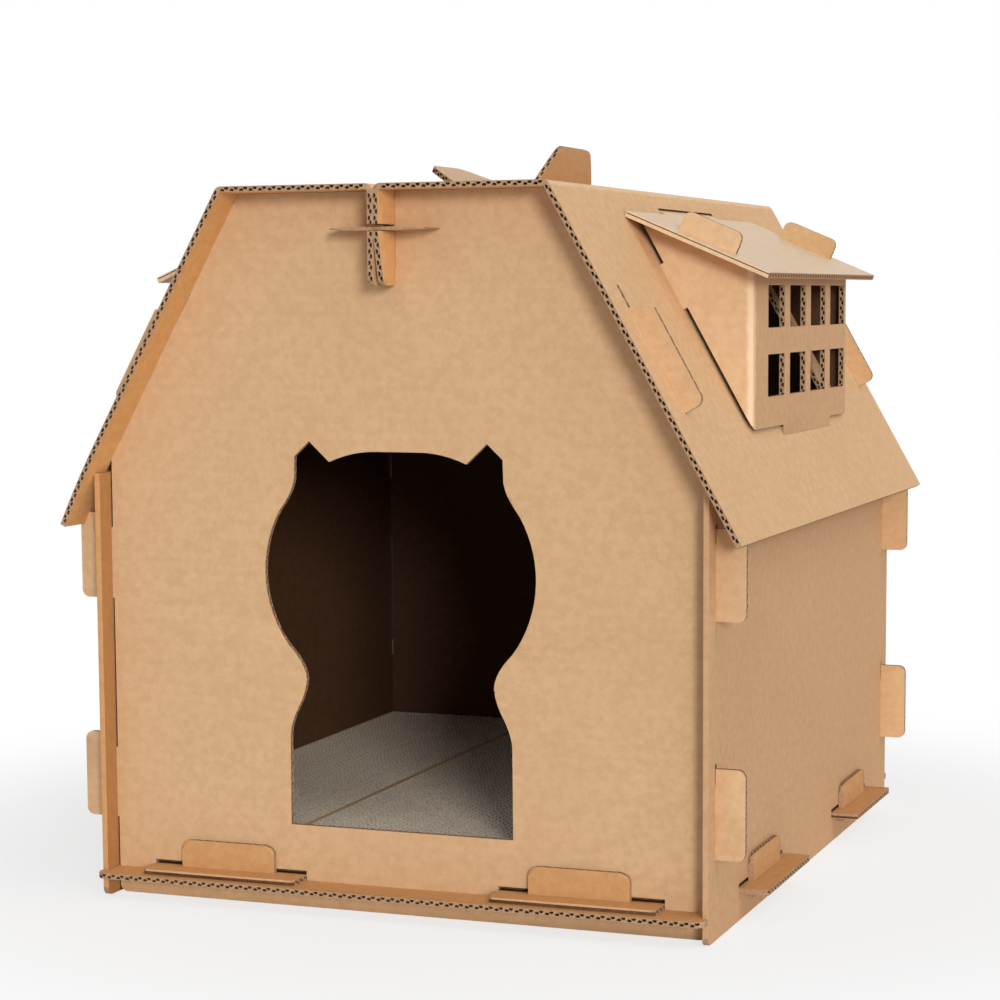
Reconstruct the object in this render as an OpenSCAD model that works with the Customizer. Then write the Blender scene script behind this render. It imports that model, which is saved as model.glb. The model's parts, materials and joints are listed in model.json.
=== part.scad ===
// Cat condo: a slot-together house of corrugated board.
// Frame: origin on the ground at the centre of the footprint, X to the right,
// the door faces -Y, Z up. Millimetres.

/* [House] */
// outside width over the side walls
body_w = 480; // [420:5:560]
// depth of the side walls, front edge to back edge
body_d = 576; // [520:4:640]
// thickness of the corrugated board
board_t = 4.3; // [4:0.1:5]
// set-back of the gable panels behind the walls' edges
panel_inset = 17; // [13:1:22]
// play round a board in its slot
slot_play = 0.3; // [0.2:0.1:0.5]
// gap between the gable panels' edges and the walls
panel_gap = 1.2; // [0.5:0.1:2]
// corner radius of walls and gable panels at the ground
foot_r = 6; // [2:1:10]

/* [Roof] */
// width over the eaves
roof_w = 534; // [524:2:560]
// width of the flat top
top_w = 254; // [230:2:280]
// height of the eaves' lower edge
eave_z = 284; // [270:2:300]
// height of the flat top
top_z = 534; // [510:2:560]
// reach of the roof past the walls at each end
roof_over = 13; // [9:1:20]
// outside radius of a fold in the board
fold_r = 6; // [5.5:0.5:7.5]
// length of the gable tenons along the slope
slope_tenon_l = 84; // [60:2:100]
// height of the gable tenons above the slope
slope_tenon_h = 16; // [10:1:22]
// free length of the slope's slot above the tenon
slope_slot_free = 18; // [6:1:24]
// corner radius of all tenons
tenon_r = 6; // [2:1:8]

/* [Ridge] */
// place of the roof's seam to the right of the middle
seam_x = -4; // [-6:1:6]
// depth of the centre flanges below the flat top
flange_h = 72; // [60:1:84]
// length of the flanges' ends that hook below the gable slot
hook_h = 13; // [8:1:18]
// corner radius of the flanges' ends
flange_r = 6; // [2:1:10]
// width of the ridge keys
ridge_key_w = 79; // [60:1:96]
// depth of the ridge keys, away from the gable
ridge_key_d = 24; // [16:1:28]
// corner radius of the ridge keys' outer corners
ridge_key_r = 10; // [4:1:14]
// depth of the ridge keys' middle below the flat top
ridge_key_drop = 31; // [24:1:40]

/* [Seam tongues] */
// width of a tongue at its crease
tongue_w = 150; // [130:2:150]
// width of a tongue at its tip
tongue_tip_w = 80; // [60:1:100]
// length of a tongue from its crease
tongue_l = 44; // [36:1:50]
// corner radius of a tongue
tongue_r = 16; // [6:1:18]
// place along the seam of the tongue that leans right
tongue_right_y = 96; // [96:1:110]
// place along the seam of the tongue that leans left
tongue_left_y = -56; // [-75:1:-56]
// angle of the right tongue above the flat top
tongue_right_a = 71.5; // [10:0.5:80]
// angle of the left tongue above the flat top
tongue_left_a = 24.5; // [10:0.5:80]

/* [Door] */
// width of the door below the shoulders
door_w = 177; // [160:1:190]
// height of the sill
door_sill = 62; // [60:1:80]
// height where the shoulders start to slope in
shoulder_z = 137; // [125:1:145]
// width of the neck
neck_w = 148; // [130:1:156]
// height where the neck starts
neck_z = 165; // [158:1:172]
// width of the head
head_w = 214; // [200:1:230]
// radius of the cheeks
cheek_r = 90; // [84:1:96]
// height of the head's middle
head_z = 252; // [246:1:258]
// distance between the ear tips
ear_span = 140; // [130:1:150]
// height of the ear tips above the head's middle
ear_rise = 97; // [92:1:102]
// width of an ear inside its tip
ear_in_w = 16; // [13:1:19]
// width of an ear outside its tip
ear_out_w = 12; // [8:1:18]

/* [Wall tenons] */
// height of a gable tenon in the wall
wall_tenon_h = 65; // [50:1:76]
// reach of the gable tenons past the wall
wall_tenon_l = 22; // [14:1:28]
// middle height of the lower tenon
low_tenon_z = 91; // [84:1:100]
// middle height of the upper tenon
high_tenon_z = 260; // [240:1:266]
// depth of the notch in a tenon's upper edge, where it passes the wall
tenon_notch = 11; // [6:1:16]
// free height of the wall's slot above the tenon
wall_slot_free = 3; // [1:0.5:8]

/* [Floor] */
// height of the floor panel's underside
floor_z = 20; // [16:1:26]
// width of a floor tab
tab_w = 126; // [100:2:136]
// reach of a floor tab past the board it goes through
tab_l = 22; // [16:1:28]
// distance of the end tabs' middles from the centre line
tab_x = 140; // [132:1:150]
// distance of the side tabs' middles from mid-depth
tab_y = 144; // [120:1:160]
// corner radius of a floor tab
tab_r = 3; // [1:0.5:5]
// free height of a floor slot above the tab
slot_head = 3; // [1:0.5:5]
// width of a floor key
key_w = 77; // [60:1:90]
// height of a floor key
key_h = 32; // [28:1:42]
// corner radius of a floor key
key_r = 8; // [3:1:12]
// length of a floor key below the floor panel
key_drop = 7; // [6:0.5:12]

/* [Ledge] */
// reach of the ledges past the walls' edges
ledge_over = 12; // [6:1:18]
// corner radius of the ledges
ledge_r = 8; // [3:1:11]
// width of a ledge tongue
ledge_tongue_w = 118; // [94:2:124]
// length of a ledge tongue behind the gable
ledge_tongue_l = 25; // [15:1:40]

/* [Scratch pads] */
// height of the pads
pad_h = 33; // [20:1:34]
// width of the middle pad
pad_mid_w = 174; // [150:2:240]
// gap between the pads and the gable panels
pad_end_gap = 3; // [1:0.5:8]

/* [Dormers] */
// width over the cheeks
dormer_w = 300; // [280:2:316]
// place of the window face, as a share of the way from the roof's knee to its eave
dormer_out_share = 0.75; // [0.7:0.01:0.8]
// distance of the dormers' middle behind mid-depth
dormer_back = 8; // [0:1:14]
// distance down the slope from the ridge to the dormer roof
dormer_drop = 25; // [22:1:30]
// pitch of the dormer roof
dormer_pitch = 23; // [18:1:27]
// reach of the dormer roof past the window face
dormer_eave = 16; // [8:1:24]
// reach of the dormer roof past each cheek
dormer_side = 24; // [12:1:32]
// outside radius of the dormer's upright folds
bay_fold_r = 7; // [6.5:0.5:9]
// slit left between the cheeks and the slope
dormer_slit = 3.5; // [0.5:0.5:5]
// length of a cheek tenon, as a share of the cheek's upper edge
cheek_tenon_share = 0.47; // [0.36:0.01:0.54]
// height of a cheek tenon above the dormer roof
cheek_tenon_h = 16; // [8:1:22]
// middle of the cheek tenon, as a share of the cheek's upper edge
tenon_place_share = 0.59; // [0.52:0.01:0.63]
// length of a cheek's foot along the slope
cheek_foot_l = 38; // [26:1:46]
// middle of the cheek's foot, down the slope from the ridge
cheek_foot_at = 85; // [80:1:100]
// reach of feet and tongues past the slope's inner face
foot_out = 9; // [4:1:14]
// width of the tongue under the windows
sill_tongue_w = 152; // [120:2:180]
// width of the tongue at the dormer roof's upper edge
head_tongue_w = 150; // [100:2:200]
// free height of the slope's slot above that tongue
head_slot_free = 1.5; // [0.5:0.5:3]
// edge of the slope left round the opening under the dormer
hole_edge = 14; // [10:1:20]
// distance of the windows and the sill tongue behind the dormer's middle
face_shift = 14; // [0:1:16]
// width of a window
window_w = 49.5; // [40:0.5:50]
// height of a window
window_h = 32; // [26:0.5:34]
// bar between two windows
window_bar = 16.5; // [10:0.5:18]
// band between the two rows of windows
window_band = 20; // [14:0.5:22]
// band above the upper windows
window_top = 11.5; // [6:0.5:14]

/* [Hidden] */
$fn = 64;

// overrun of every cut
cut = 1;
// gap under a board that rests on another at an angle
seat_gap = 0.2;
// amount by which a rounding arc crosses the straight edges that it joins
graze = 0.02;

// window columns and rows
window_cols = 4;
window_rows = 2;

// colours
kraft = [0.80, 0.63, 0.45];
kraft_pale = [0.86, 0.74, 0.61];
kraft_warm = [0.85, 0.67, 0.46];
pad_grey = [0.66, 0.56, 0.46];

// inner faces of the walls, outer faces of the gables, ends of the roof
wall_in = body_w / 2 - board_t;
panel_y = body_d / 2 - panel_inset;
panel_mid_y = panel_y - board_t / 2;
roof_end_y = body_d / 2 + roof_over;
slot_w = board_t + 2 * slot_play;

// slope of the roof
slope_a = atan2(top_z - eave_z, (roof_w - top_w) / 2);
slope_l = norm([top_z - eave_z, (roof_w - top_w) / 2]);
fold_in = bay_fold_r - board_t;
function slope_z(x) = top_z - (x - top_w / 2) * tan(slope_a);
function under_z(x) = slope_z(x) - board_t / cos(slope_a);
wall_top = under_z(body_w / 2) - seat_gap;

// gable outline
panel_half = wall_in - panel_gap;
panel_top = top_z - board_t - seat_gap;
panel_knee_x = top_w / 2 - board_t * tan(slope_a / 2);
flange_slot_z = top_z - flange_h + hook_h;

// ridge keys and seam tongues
ridge_key_z = top_z - ridge_key_drop;
tongue_axis_z = top_z + slot_play + board_t / 2;

// floor, keys, ledges and pads
floor_top = floor_z + board_t;
key_z = floor_z - key_drop;
slit_w = board_t + 2 * slot_play;
pad_half_d = panel_y - board_t - pad_end_gap;

// dormer: where its roof's underside meets the slope, and its window face
dormer_x = top_w / 2 + dormer_out_share * (roof_w - top_w) / 2;
dormer_u0 = [top_w / 2 + dormer_drop * cos(slope_a), top_z - dormer_drop * sin(slope_a)];
cheek_top_l = (dormer_x - dormer_u0[0]) / cos(dormer_pitch);
cheek_tenon_l = cheek_tenon_share * cheek_top_l;
cheek_tenon_at = tenon_place_share * cheek_top_l;
dormer_roof_l = (dormer_x + dormer_eave - dormer_u0[0]) / cos(dormer_pitch);
function dormer_under_z(x) = dormer_u0[1] - (x - dormer_u0[0]) * tan(dormer_pitch);
window_face_top = dormer_under_z(dormer_x);
window_face_low = slope_z(dormer_x - board_t) + seat_gap;
dormer_tip_u = dormer_drop + dormer_slit / tan(slope_a - dormer_pitch);
dormer_low_u = (top_z + dormer_slit * cos(slope_a) - window_face_low) / sin(slope_a);
function cheek_edge(u) = [
    top_w / 2 + u * cos(slope_a) + dormer_slit * sin(slope_a),
    top_z - u * sin(slope_a) + dormer_slit * cos(slope_a)
];

// A region that rounds the corner of a board lying in the first quadrant.
module nick(r) {
    difference() {
        translate([-cut, -cut]) square(r + cut);
        translate([r, r]) circle(r);
    }
}

// A tab that starts on the X axis and reaches to l, its two outer corners rounded.
module tab(w, l, r) {
    difference() {
        translate([-w / 2, 0]) square([w, l]);
        for (side = [0, 1])
            mirror([side, 0])
                translate([-w / 2, l])
                    mirror([0, 1])
                        nick(r);
    }
}

// Stands an outline in X and Z up as a board whose outer face looks to -Y.
module stand_front(outer_y) {
    translate([0, board_t - outer_y, 0])
        rotate([90, 0, 0])
            linear_extrude(board_t)
                children();
}

// Lays an outline in X and Y down as a board with its underside at z.
module lay(z) {
    translate([0, 0, z])
        linear_extrude(board_t)
            children();
}

// Frame of the right slope: X down the slope from the ridge, Z outwards from its outer face.
module on_slope() {
    translate([top_w / 2, 0, top_z])
        rotate([0, slope_a, 0])
            children();
}

// Frame of the right dormer's roof: X down from its upper edge, Z up from its underside.
module on_dormer_roof() {
    translate([dormer_u0[0], 0, dormer_u0[1]])
        rotate([0, dormer_pitch, 0])
            children();
}

// A box centred in X and Y, from z to z + h.
module block(size_x, size_y, z, h) {
    translate([-size_x / 2, -size_y / 2, z])
        cube([size_x, size_y, h]);
}

// The same children at both ends of the house.
module both_y() {
    for (side = [0, 1])
        mirror([0, side, 0])
            children();
}

// Opening in the outline of a cat's head and shoulders.
module door_outline() {
    cheek_x = head_w / 2 - cheek_r;
    ear_tip = [ear_span / 2, head_z + ear_rise];
    ear_in = ear_tip[0] - ear_in_w;
    ear_out = ear_tip[0] + ear_out_w;
    translate([-door_w / 2, door_sill]) square([door_w, shoulder_z - door_sill]);
    polygon([
        [-door_w / 2, shoulder_z],
        [door_w / 2, shoulder_z],
        [neck_w / 2, neck_z],
        [neck_w / 2, head_z],
        [-neck_w / 2, head_z],
        [-neck_w / 2, neck_z]
    ]);
    translate([-cheek_x, head_z]) square([2 * cheek_x, cheek_r]);
    for (side = [0, 1])
        mirror([side, 0]) {
            translate([cheek_x, head_z]) circle(cheek_r);
            polygon([
                [ear_in, head_z],
                [ear_in, head_z + sqrt(cheek_r * cheek_r - (ear_in - cheek_x) * (ear_in - cheek_x))],
                ear_tip,
                [ear_out, head_z + cheek_r - board_t],
                [ear_out, head_z]
            ]);
        }
}

// Outline of a gable panel with its tenons, and without the door.
module gable_outline() {
    difference() {
        union() {
            polygon([
                [-panel_half, 0],
                [panel_half, 0],
                [panel_half, under_z(panel_half) - seat_gap],
                [panel_knee_x, panel_top],
                [-panel_knee_x, panel_top],
                [-panel_half, under_z(panel_half) - seat_gap]
            ]);
            for (side = [0, 1])
                mirror([side, 0]) {
                    gable_wall_tenon(low_tenon_z);
                    gable_wall_tenon(high_tenon_z);
                    gable_slope_tenon();
                }
        }
        for (side = [0, 1])
            mirror([side, 0]) {
                translate([-panel_half, 0]) nick(foot_r);
                gable_floor_slot();
                gable_tenon_notch(low_tenon_z);
                gable_tenon_notch(high_tenon_z);
                under_eave();
            }
        translate([seam_x - board_t - slot_play, flange_slot_z])
            square([2 * (board_t + slot_play), top_z - flange_slot_z]);
    }
}

// Tenon of a gable through the right wall, with its middle at height z.
module gable_wall_tenon(z) {
    translate([panel_half - board_t, z])
        rotate(-90)
            tab(wall_tenon_h, 2 * board_t + panel_gap + wall_tenon_l, tenon_r);
}

// Notch in the upper edge of the same tenon, over the wall's thickness.
module gable_tenon_notch(z) {
    translate([panel_half, z + wall_tenon_h / 2 - tenon_notch])
        square([body_w / 2 + slot_play - panel_half, tenon_notch + cut]);
}

// Region that trims the upper wall tenon along the underside of the slope.
module under_eave() {
    from_x = body_w / 2;
    to_x = from_x + wall_tenon_l + cut;
    polygon([
        [from_x, under_z(from_x) - seat_gap],
        [to_x, under_z(to_x) - seat_gap],
        [to_x, under_z(from_x) - seat_gap]
    ]);
}

// Tenon of a gable through the right slope: its upper end is cut level.
module gable_slope_tenon() {
    base = 2 * board_t;
    level = (base + slope_tenon_h) / tan(slope_a);
    translate([top_w / 2, top_z])
        rotate(-slope_a)
            translate([slope_l / 2, -base])
                difference() {
                    tab(slope_tenon_l, base + slope_tenon_h, tenon_r);
                    polygon([
                        [-slope_tenon_l / 2 - base / tan(slope_a), 0],
                        [-slope_tenon_l / 2 - base / tan(slope_a) + level, base + slope_tenon_h],
                        [-slope_tenon_l / 2 - base / tan(slope_a) + level, base + slope_tenon_h + cut],
                        [-slope_tenon_l, base + slope_tenon_h + cut],
                        [-slope_tenon_l, 0]
                    ]);
                }
}

// Slot of a gable that takes a floor tab and the ledge's tongue below it.
module gable_floor_slot() {
    low = floor_z - board_t - slot_play;
    translate([tab_x - tab_w / 2 - slot_play, low])
        square([tab_w + 2 * slot_play, floor_top + slot_head - low]);
}

module front_panel() {
    color(kraft)
        stand_front(panel_y)
            difference() {
                gable_outline();
                door_outline();
            }
}

module back_panel() {
    color(kraft)
        mirror([0, 1, 0])
            stand_front(panel_y)
                gable_outline();
}

// Outline of a side wall in Y and Z.
module wall_outline() {
    difference() {
        translate([-body_d / 2, 0]) square([body_d, wall_top]);
        for (side = [0, 1])
            mirror([side, 0]) {
                translate([-body_d / 2, 0]) nick(foot_r);
                wall_tenon_slot(low_tenon_z);
                wall_tenon_slot(high_tenon_z);
                translate([tab_y - tab_w / 2 - slot_play, floor_z - slot_play])
                    square([tab_w + 2 * slot_play, board_t + slot_play + slot_head]);
            }
    }
}

// Slot of a wall for a gable tenon with its middle at height z.
module wall_tenon_slot(z) {
    low = z - wall_tenon_h / 2 - slot_play;
    translate([panel_mid_y - slot_w / 2, low])
        square([slot_w, wall_tenon_h + slot_play + wall_slot_free]);
}

module side_wall() {
    translate([wall_in, 0, 0])
        rotate([90, 0, 90])
            linear_extrude(board_t)
                wall_outline();
}

module left_wall() {
    color(kraft)
        mirror([1, 0, 0])
            side_wall();
}

module right_wall() {
    color(kraft)
        side_wall();
}

// Floor board between the walls and gables, with two tabs through each of them.
module floor_panel() {
    inner_x = wall_in - slot_play;
    inner_y = panel_y - board_t - slot_play;
    color(kraft)
        lay(floor_z)
            difference() {
                union() {
                    square([2 * inner_x, 2 * inner_y], center = true);
                    for (mx = [0, 1])
                        for (my = [0, 1])
                            mirror([mx, 0])
                                mirror([0, my]) {
                                    translate([tab_x, inner_y - board_t])
                                        tab(tab_w, panel_y + tab_l - inner_y + board_t, tab_r);
                                    translate([inner_x - board_t, tab_y])
                                        rotate(-90)
                                            tab(tab_w, body_w / 2 + tab_l - inner_x + board_t, tab_r);
                                }
                }
                for (mx = [0, 1])
                    for (my = [0, 1])
                        mirror([mx, 0])
                            mirror([0, my]) {
                                end_slit();
                                side_slit();
                            }
            }
}

// Slit for a key in a tab or ledge in front of a gable.
module end_slit() {
    translate([tab_x - key_w / 2 - slot_play, panel_y])
        square([key_w + 2 * slot_play, slit_w]);
}

// Slit for a key in a tab outside a wall.
module side_slit() {
    translate([body_w / 2, tab_y - key_w / 2 - slot_play])
        square([slit_w, key_w + 2 * slot_play]);
}

// Ledge outline at the back end: it hooks round the walls' edges, and two tongues go forward.
module ledge_outline() {
    out_y = body_d / 2 + ledge_over;
    tongue_end = panel_y - board_t - ledge_tongue_l;
    back_edge = panel_y + slot_play;
    inner_x = tab_x - ledge_tongue_w / 2;
    outer_x = tab_x + ledge_tongue_w / 2;
    difference() {
        translate([0, tongue_end]) tab(body_w, out_y - tongue_end, ledge_r);
        translate([-inner_x, tongue_end - cut]) square([2 * inner_x, back_edge - tongue_end + cut]);
        for (side = [0, 1])
            mirror([side, 0]) {
                translate([outer_x, tongue_end - cut])
                    square([body_w / 2 - outer_x + cut, back_edge - tongue_end + cut]);
                translate([wall_in - slot_play, tongue_end])
                    square([board_t + slot_play + cut, body_d / 2 + slot_play - tongue_end]);
                end_slit();
            }
    }
}

module rear_ledge() {
    color(kraft_warm)
        lay(floor_z - board_t)
            ledge_outline();
}

module front_ledge() {
    color(kraft_warm)
        mirror([0, 1, 0])
            lay(floor_z - board_t)
                ledge_outline();
}

// Section of the right roof half: slope, its part of the flat top, centre flange at the seam.
module roof_section(seam) {
    low = top_z - flange_h;
    difference() {
        polygon([
            [seam, low],
            [seam + board_t, low],
            [seam + board_t, top_z - board_t],
            [panel_knee_x, top_z - board_t],
            [roof_w / 2 - board_t * sin(slope_a), eave_z - board_t * cos(slope_a)],
            [roof_w / 2, eave_z],
            [top_w / 2, top_z],
            [seam, top_z]
        ]);
        translate([seam, top_z]) mirror([0, 1]) nick(fold_r);
        translate([top_w / 2, top_z]) knee_nick(fold_r, slope_a);
    }
}

// Region that rounds a knee at the origin, where a level edge turns down to the right.
module knee_nick(r, fall) {
    bend = r * tan(fall / 2);
    difference() {
        polygon([
            [-bend, -r],
            [bend * cos(fall), -bend * sin(fall)],
            [r, r],
            [-bend, 0]
        ]);
        translate([-bend, -r]) circle(r + graze);
    }
}

// Right roof half with its slots. The tongue's place along the seam and the seam's are passed in.
module roof_half(tongue_y, seam) {
    difference() {
        union() {
            translate([0, roof_end_y, 0])
                rotate([90, 0, 0])
                    linear_extrude(2 * roof_end_y)
                        roof_section(seam);
            translate([seam, 0, 0]) tongue_root(tongue_y);
        }
        both_y() {
            slope_tenon_slot();
            translate([seam, 0, 0]) flange_end_cuts();
        }
        translate([seam, 0, 0]) flange_window(tongue_y);
        translate([0, dormer_back, 0]) {
            both_y() cheek_foot_slot();
            dormer_cuts();
        }
    }
}

// Slot of the slope for the tenon of the rear gable.
module slope_tenon_slot() {
    length = slope_tenon_l + slope_slot_free + slot_play;
    on_slope()
        translate([slope_l / 2 - slope_tenon_l / 2 - slope_slot_free, panel_mid_y - slot_w / 2, -board_t - cut])
            cube([length, slot_w, board_t + 2 * cut]);
}

// Rear end of the flange: notch over the gable, slot for the ridge key, round corner.
module flange_end_cuts() {
    low = top_z - flange_h;
    across = board_t + 2 * cut;
    translate([-cut, panel_mid_y - slot_w / 2, low - cut])
        cube([across, slot_w, hook_h + slot_play + cut]);
    translate([-cut, panel_y, ridge_key_z - slot_w / 2])
        cube([across, roof_end_y - panel_y + cut, slot_w]);
    translate([-cut, roof_end_y, low])
        rotate([90, 0, 90])
            linear_extrude(across)
                mirror([1, 0])
                    nick(flange_r);
}

// Flat board that runs on to the seam where the tongue starts.
module tongue_root(tongue_y) {
    translate([0, tongue_y - tongue_w / 2, top_z - board_t])
        cube([2 * fold_r, tongue_w, board_t]);
}

// Hole left in the flange where its tongue was cut out.
module flange_window(tongue_y) {
    translate([-cut, tongue_y, top_z - board_t])
        rotate([90, 0, 90])
            linear_extrude(board_t + 2 * cut)
                mirror([0, 1])
                    tongue_outline();
}

// Outline of a seam tongue from its crease on the X axis: straight at first, then tapered.
module tongue_outline() {
    fall = atan2(tongue_l - board_t, (tongue_w - tongue_tip_w) / 2);
    difference() {
        polygon([
            [-tongue_w / 2, 0],
            [tongue_w / 2, 0],
            [tongue_w / 2, board_t],
            [tongue_tip_w / 2, tongue_l],
            [-tongue_tip_w / 2, tongue_l],
            [-tongue_w / 2, board_t]
        ]);
        for (side = [0, 1])
            mirror([side, 0])
                translate([tongue_tip_w / 2, tongue_l])
                    knee_nick(tongue_r, fall);
    }
}

// Slot of the slope for the foot of the rear cheek.
module cheek_foot_slot() {
    on_slope()
        translate([cheek_foot_at, dormer_w / 2 - board_t / 2, 0])
            block(cheek_foot_l + 2 * slot_play, slot_w, -board_t - cut, board_t + 2 * cut);
}

// Opening under the dormer, and the slots for its two tongues.
module dormer_cuts() {
    hole_y = dormer_w - 2 * (board_t + hole_edge);
    hole_from = dormer_drop + board_t + hole_edge;
    hole_to = dormer_low_u - board_t - hole_edge;
    low = under_z(dormer_x) - cut;
    on_slope()
        translate([(hole_from + hole_to) / 2, 0, 0])
            block(hole_to - hole_from, hole_y, -board_t - cut, board_t + 2 * cut);
    translate([dormer_x - board_t / 2, face_shift, 0])
        block(slot_w, sill_tongue_w + 2 * slot_play, low, window_face_low + cut - low);
    on_dormer_roof()
        translate([-head_tongue_l() / 2, 0, 0])
            block(head_tongue_l() + 2 * cut, head_tongue_w + 2 * slot_play, -slot_play, slot_w + head_slot_free);
}

// Length of the dormer roof's upper tongue: through the slope and past its inner face.
function head_tongue_l() = board_t / sin(slope_a - dormer_pitch) + foot_out;

module roof_right() {
    color(kraft)
        roof_half(tongue_left_y, seam_x);
}

module roof_left() {
    color(kraft)
        mirror([1, 0, 0])
            roof_half(tongue_right_y, -seam_x);
}

// Seam tongue that leans to the right, raised by an angle about its crease.
module tongue(place_y, raise, seam) {
    translate([seam, place_y, tongue_axis_z])
        rotate([0, -raise, 0]) {
            translate([0, 0, -board_t / 2])
                linear_extrude(board_t)
                    rotate(-90)
                        tongue_outline();
            translate([0, tongue_w / 2, 0])
                rotate([90, 0, 0])
                    cylinder(d = board_t, h = tongue_w);
        }
}

module tongue_right() {
    color(kraft_warm)
        tongue(tongue_right_y, tongue_right_a, seam_x);
}

module tongue_left() {
    color(kraft_pale)
        mirror([1, 0, 0])
            tongue(tongue_left_y, tongue_left_a, -seam_x);
}

// Strip that slides into the flanges' slot from the rear end.
module ridge_key() {
    translate([seam_x, panel_y + slot_play, ridge_key_z - board_t / 2])
        linear_extrude(board_t)
            tab(ridge_key_w, ridge_key_d, ridge_key_r);
}

module ridge_key_rear() {
    color(kraft_warm)
        ridge_key();
}

module ridge_key_front() {
    color(kraft_warm)
        mirror([0, 1, 0])
            ridge_key();
}

// Key in a tab at the right of the front gable.
module end_key() {
    color(kraft_warm)
        translate([tab_x, 0, key_z])
            stand_front(panel_y + slot_play + board_t)
                tab(key_w, key_h, key_r);
}

// Key in a tab at the rear of the right wall.
module side_key() {
    color(kraft_warm)
        translate([body_w / 2 + slot_play, tab_y, key_z])
            rotate([90, 0, 90])
                linear_extrude(board_t)
                    tab(key_w, key_h, key_r);
}

module front_key_right() {
    end_key();
}

module front_key_left() {
    mirror([1, 0, 0]) end_key();
}

module rear_key_right() {
    mirror([0, 1, 0]) end_key();
}

module rear_key_left() {
    mirror([1, 0, 0]) mirror([0, 1, 0]) end_key();
}

module right_key_rear() {
    side_key();
}

module right_key_front() {
    mirror([0, 1, 0]) side_key();
}

module left_key_rear() {
    mirror([1, 0, 0]) side_key();
}

module left_key_front() {
    mirror([1, 0, 0]) mirror([0, 1, 0]) side_key();
}

module pad_middle() {
    color(pad_grey)
        block(pad_mid_w, 2 * pad_half_d, floor_top, pad_h);
}

// Pad between the middle one and the right wall.
module side_pad() {
    width = wall_in - slot_play - pad_mid_w / 2;
    color(pad_grey)
        translate([(pad_mid_w + width) / 2, 0, 0])
            block(width, 2 * pad_half_d, floor_top, pad_h);
}

module pad_right() {
    side_pad();
}

module pad_left() {
    mirror([1, 0, 0]) side_pad();
}

// Side outline of a dormer cheek in X and Z, with its tenon and its foot.
module cheek_outline() {
    tip = cheek_edge(dormer_tip_u);
    polygon([
        tip,
        [dormer_x, window_face_top],
        [dormer_x, window_face_low],
        cheek_edge(dormer_low_u)
    ]);
    translate(dormer_u0)
        rotate(-dormer_pitch)
            translate([cheek_tenon_at, -board_t])
                tab(cheek_tenon_l, 2 * board_t + cheek_tenon_h, tenon_r);
    translate([top_w / 2, top_z])
        rotate(-slope_a)
            translate([cheek_foot_at, dormer_slit + board_t])
                mirror([0, 1])
                    tab(cheek_foot_l, dormer_slit + 2 * board_t + foot_out, tenon_r);
}

// Right dormer's board: cheek, window face and cheek in one, folded at two upright creases.
module dormer_shell() {
    low = eave_z;
    length = dormer_x - knee_in();
    difference() {
        union() {
            intersection() {
                translate([knee_in(), 0, low])
                    linear_extrude(top_z - low)
                        rotate(-90)
                            difference() {
                                tab(dormer_w, length, bay_fold_r);
                                translate([0, -cut])
                                    tab(dormer_w - 2 * board_t, length - board_t + cut, fold_in);
                            }
                translate([0, dormer_w / 2 + cut, 0])
                    rotate([90, 0, 0])
                        linear_extrude(dormer_w + 2 * cut)
                            cheek_outline();
            }
            sill_tongue();
        }
        dormer_windows();
    }
}

// Where the cheeks' board may start, behind the cheeks' feet.
function knee_in() = top_w / 2 - board_t;

// Tongue of the window face that goes down through the slope.
module sill_tongue() {
    high = window_face_low + board_t;
    low = under_z(dormer_x) - foot_out;
    translate([dormer_x - board_t, face_shift, high])
        rotate([90, 0, 90])
            linear_extrude(board_t)
                mirror([0, 1])
                    tab(sill_tongue_w, high - low, tenon_r);
}

module dormer_windows() {
    pitch_y = window_w + window_bar;
    pitch_z = window_h + window_band;
    high = window_face_top - window_top;
    for (col = [0 : window_cols - 1])
        for (row = [0 : window_rows - 1])
            translate([dormer_x - board_t / 2, face_shift + (col - (window_cols - 1) / 2) * pitch_y, 0])
                block(board_t + 2 * cut, window_w, high - window_h - row * pitch_z, window_h);
}

// Right dormer's roof board with the slots for the cheek tenons.
module dormer_roof() {
    on_dormer_roof()
        difference() {
            union() {
                translate([seat_gap, -dormer_w / 2 - dormer_side, 0])
                    cube([dormer_roof_l - seat_gap, dormer_w + 2 * dormer_side, board_t]);
                linear_extrude(board_t)
                    translate([board_t, 0])
                        rotate(90)
                            tab(head_tongue_w, head_tongue_l() + board_t, tenon_r);
            }
            both_y()
                translate([cheek_tenon_at, dormer_w / 2 - board_t / 2, 0])
                    block(cheek_tenon_l + 2 * slot_play, slot_w, -cut, board_t + 2 * cut);
        }
}

module dormer_right_shell() {
    color(kraft)
        translate([0, dormer_back, 0])
            dormer_shell();
}

module dormer_right_roof() {
    color(kraft_pale)
        translate([0, dormer_back, 0])
            dormer_roof();
}

module dormer_left_shell() {
    color(kraft)
        mirror([1, 0, 0])
            dormer_right_shell();
}

module dormer_left_roof() {
    color(kraft_pale)
        mirror([1, 0, 0])
            dormer_right_roof();
}

front_panel();
back_panel();
left_wall();
right_wall();
floor_panel();
front_ledge();
rear_ledge();
roof_left();
roof_right();
tongue_left();
tongue_right();
ridge_key_front();
ridge_key_rear();
front_key_left();
front_key_right();
rear_key_left();
rear_key_right();
left_key_front();
left_key_rear();
right_key_front();
right_key_rear();
pad_left();
pad_middle();
pad_right();
dormer_left_shell();
dormer_left_roof();
dormer_right_shell();
dormer_right_roof();
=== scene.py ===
import json
import math
import random
from collections import namedtuple

import bmesh
import bpy
from bpy.props import FloatProperty, FloatVectorProperty, PointerProperty
from mathutils import Matrix, Vector

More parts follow.
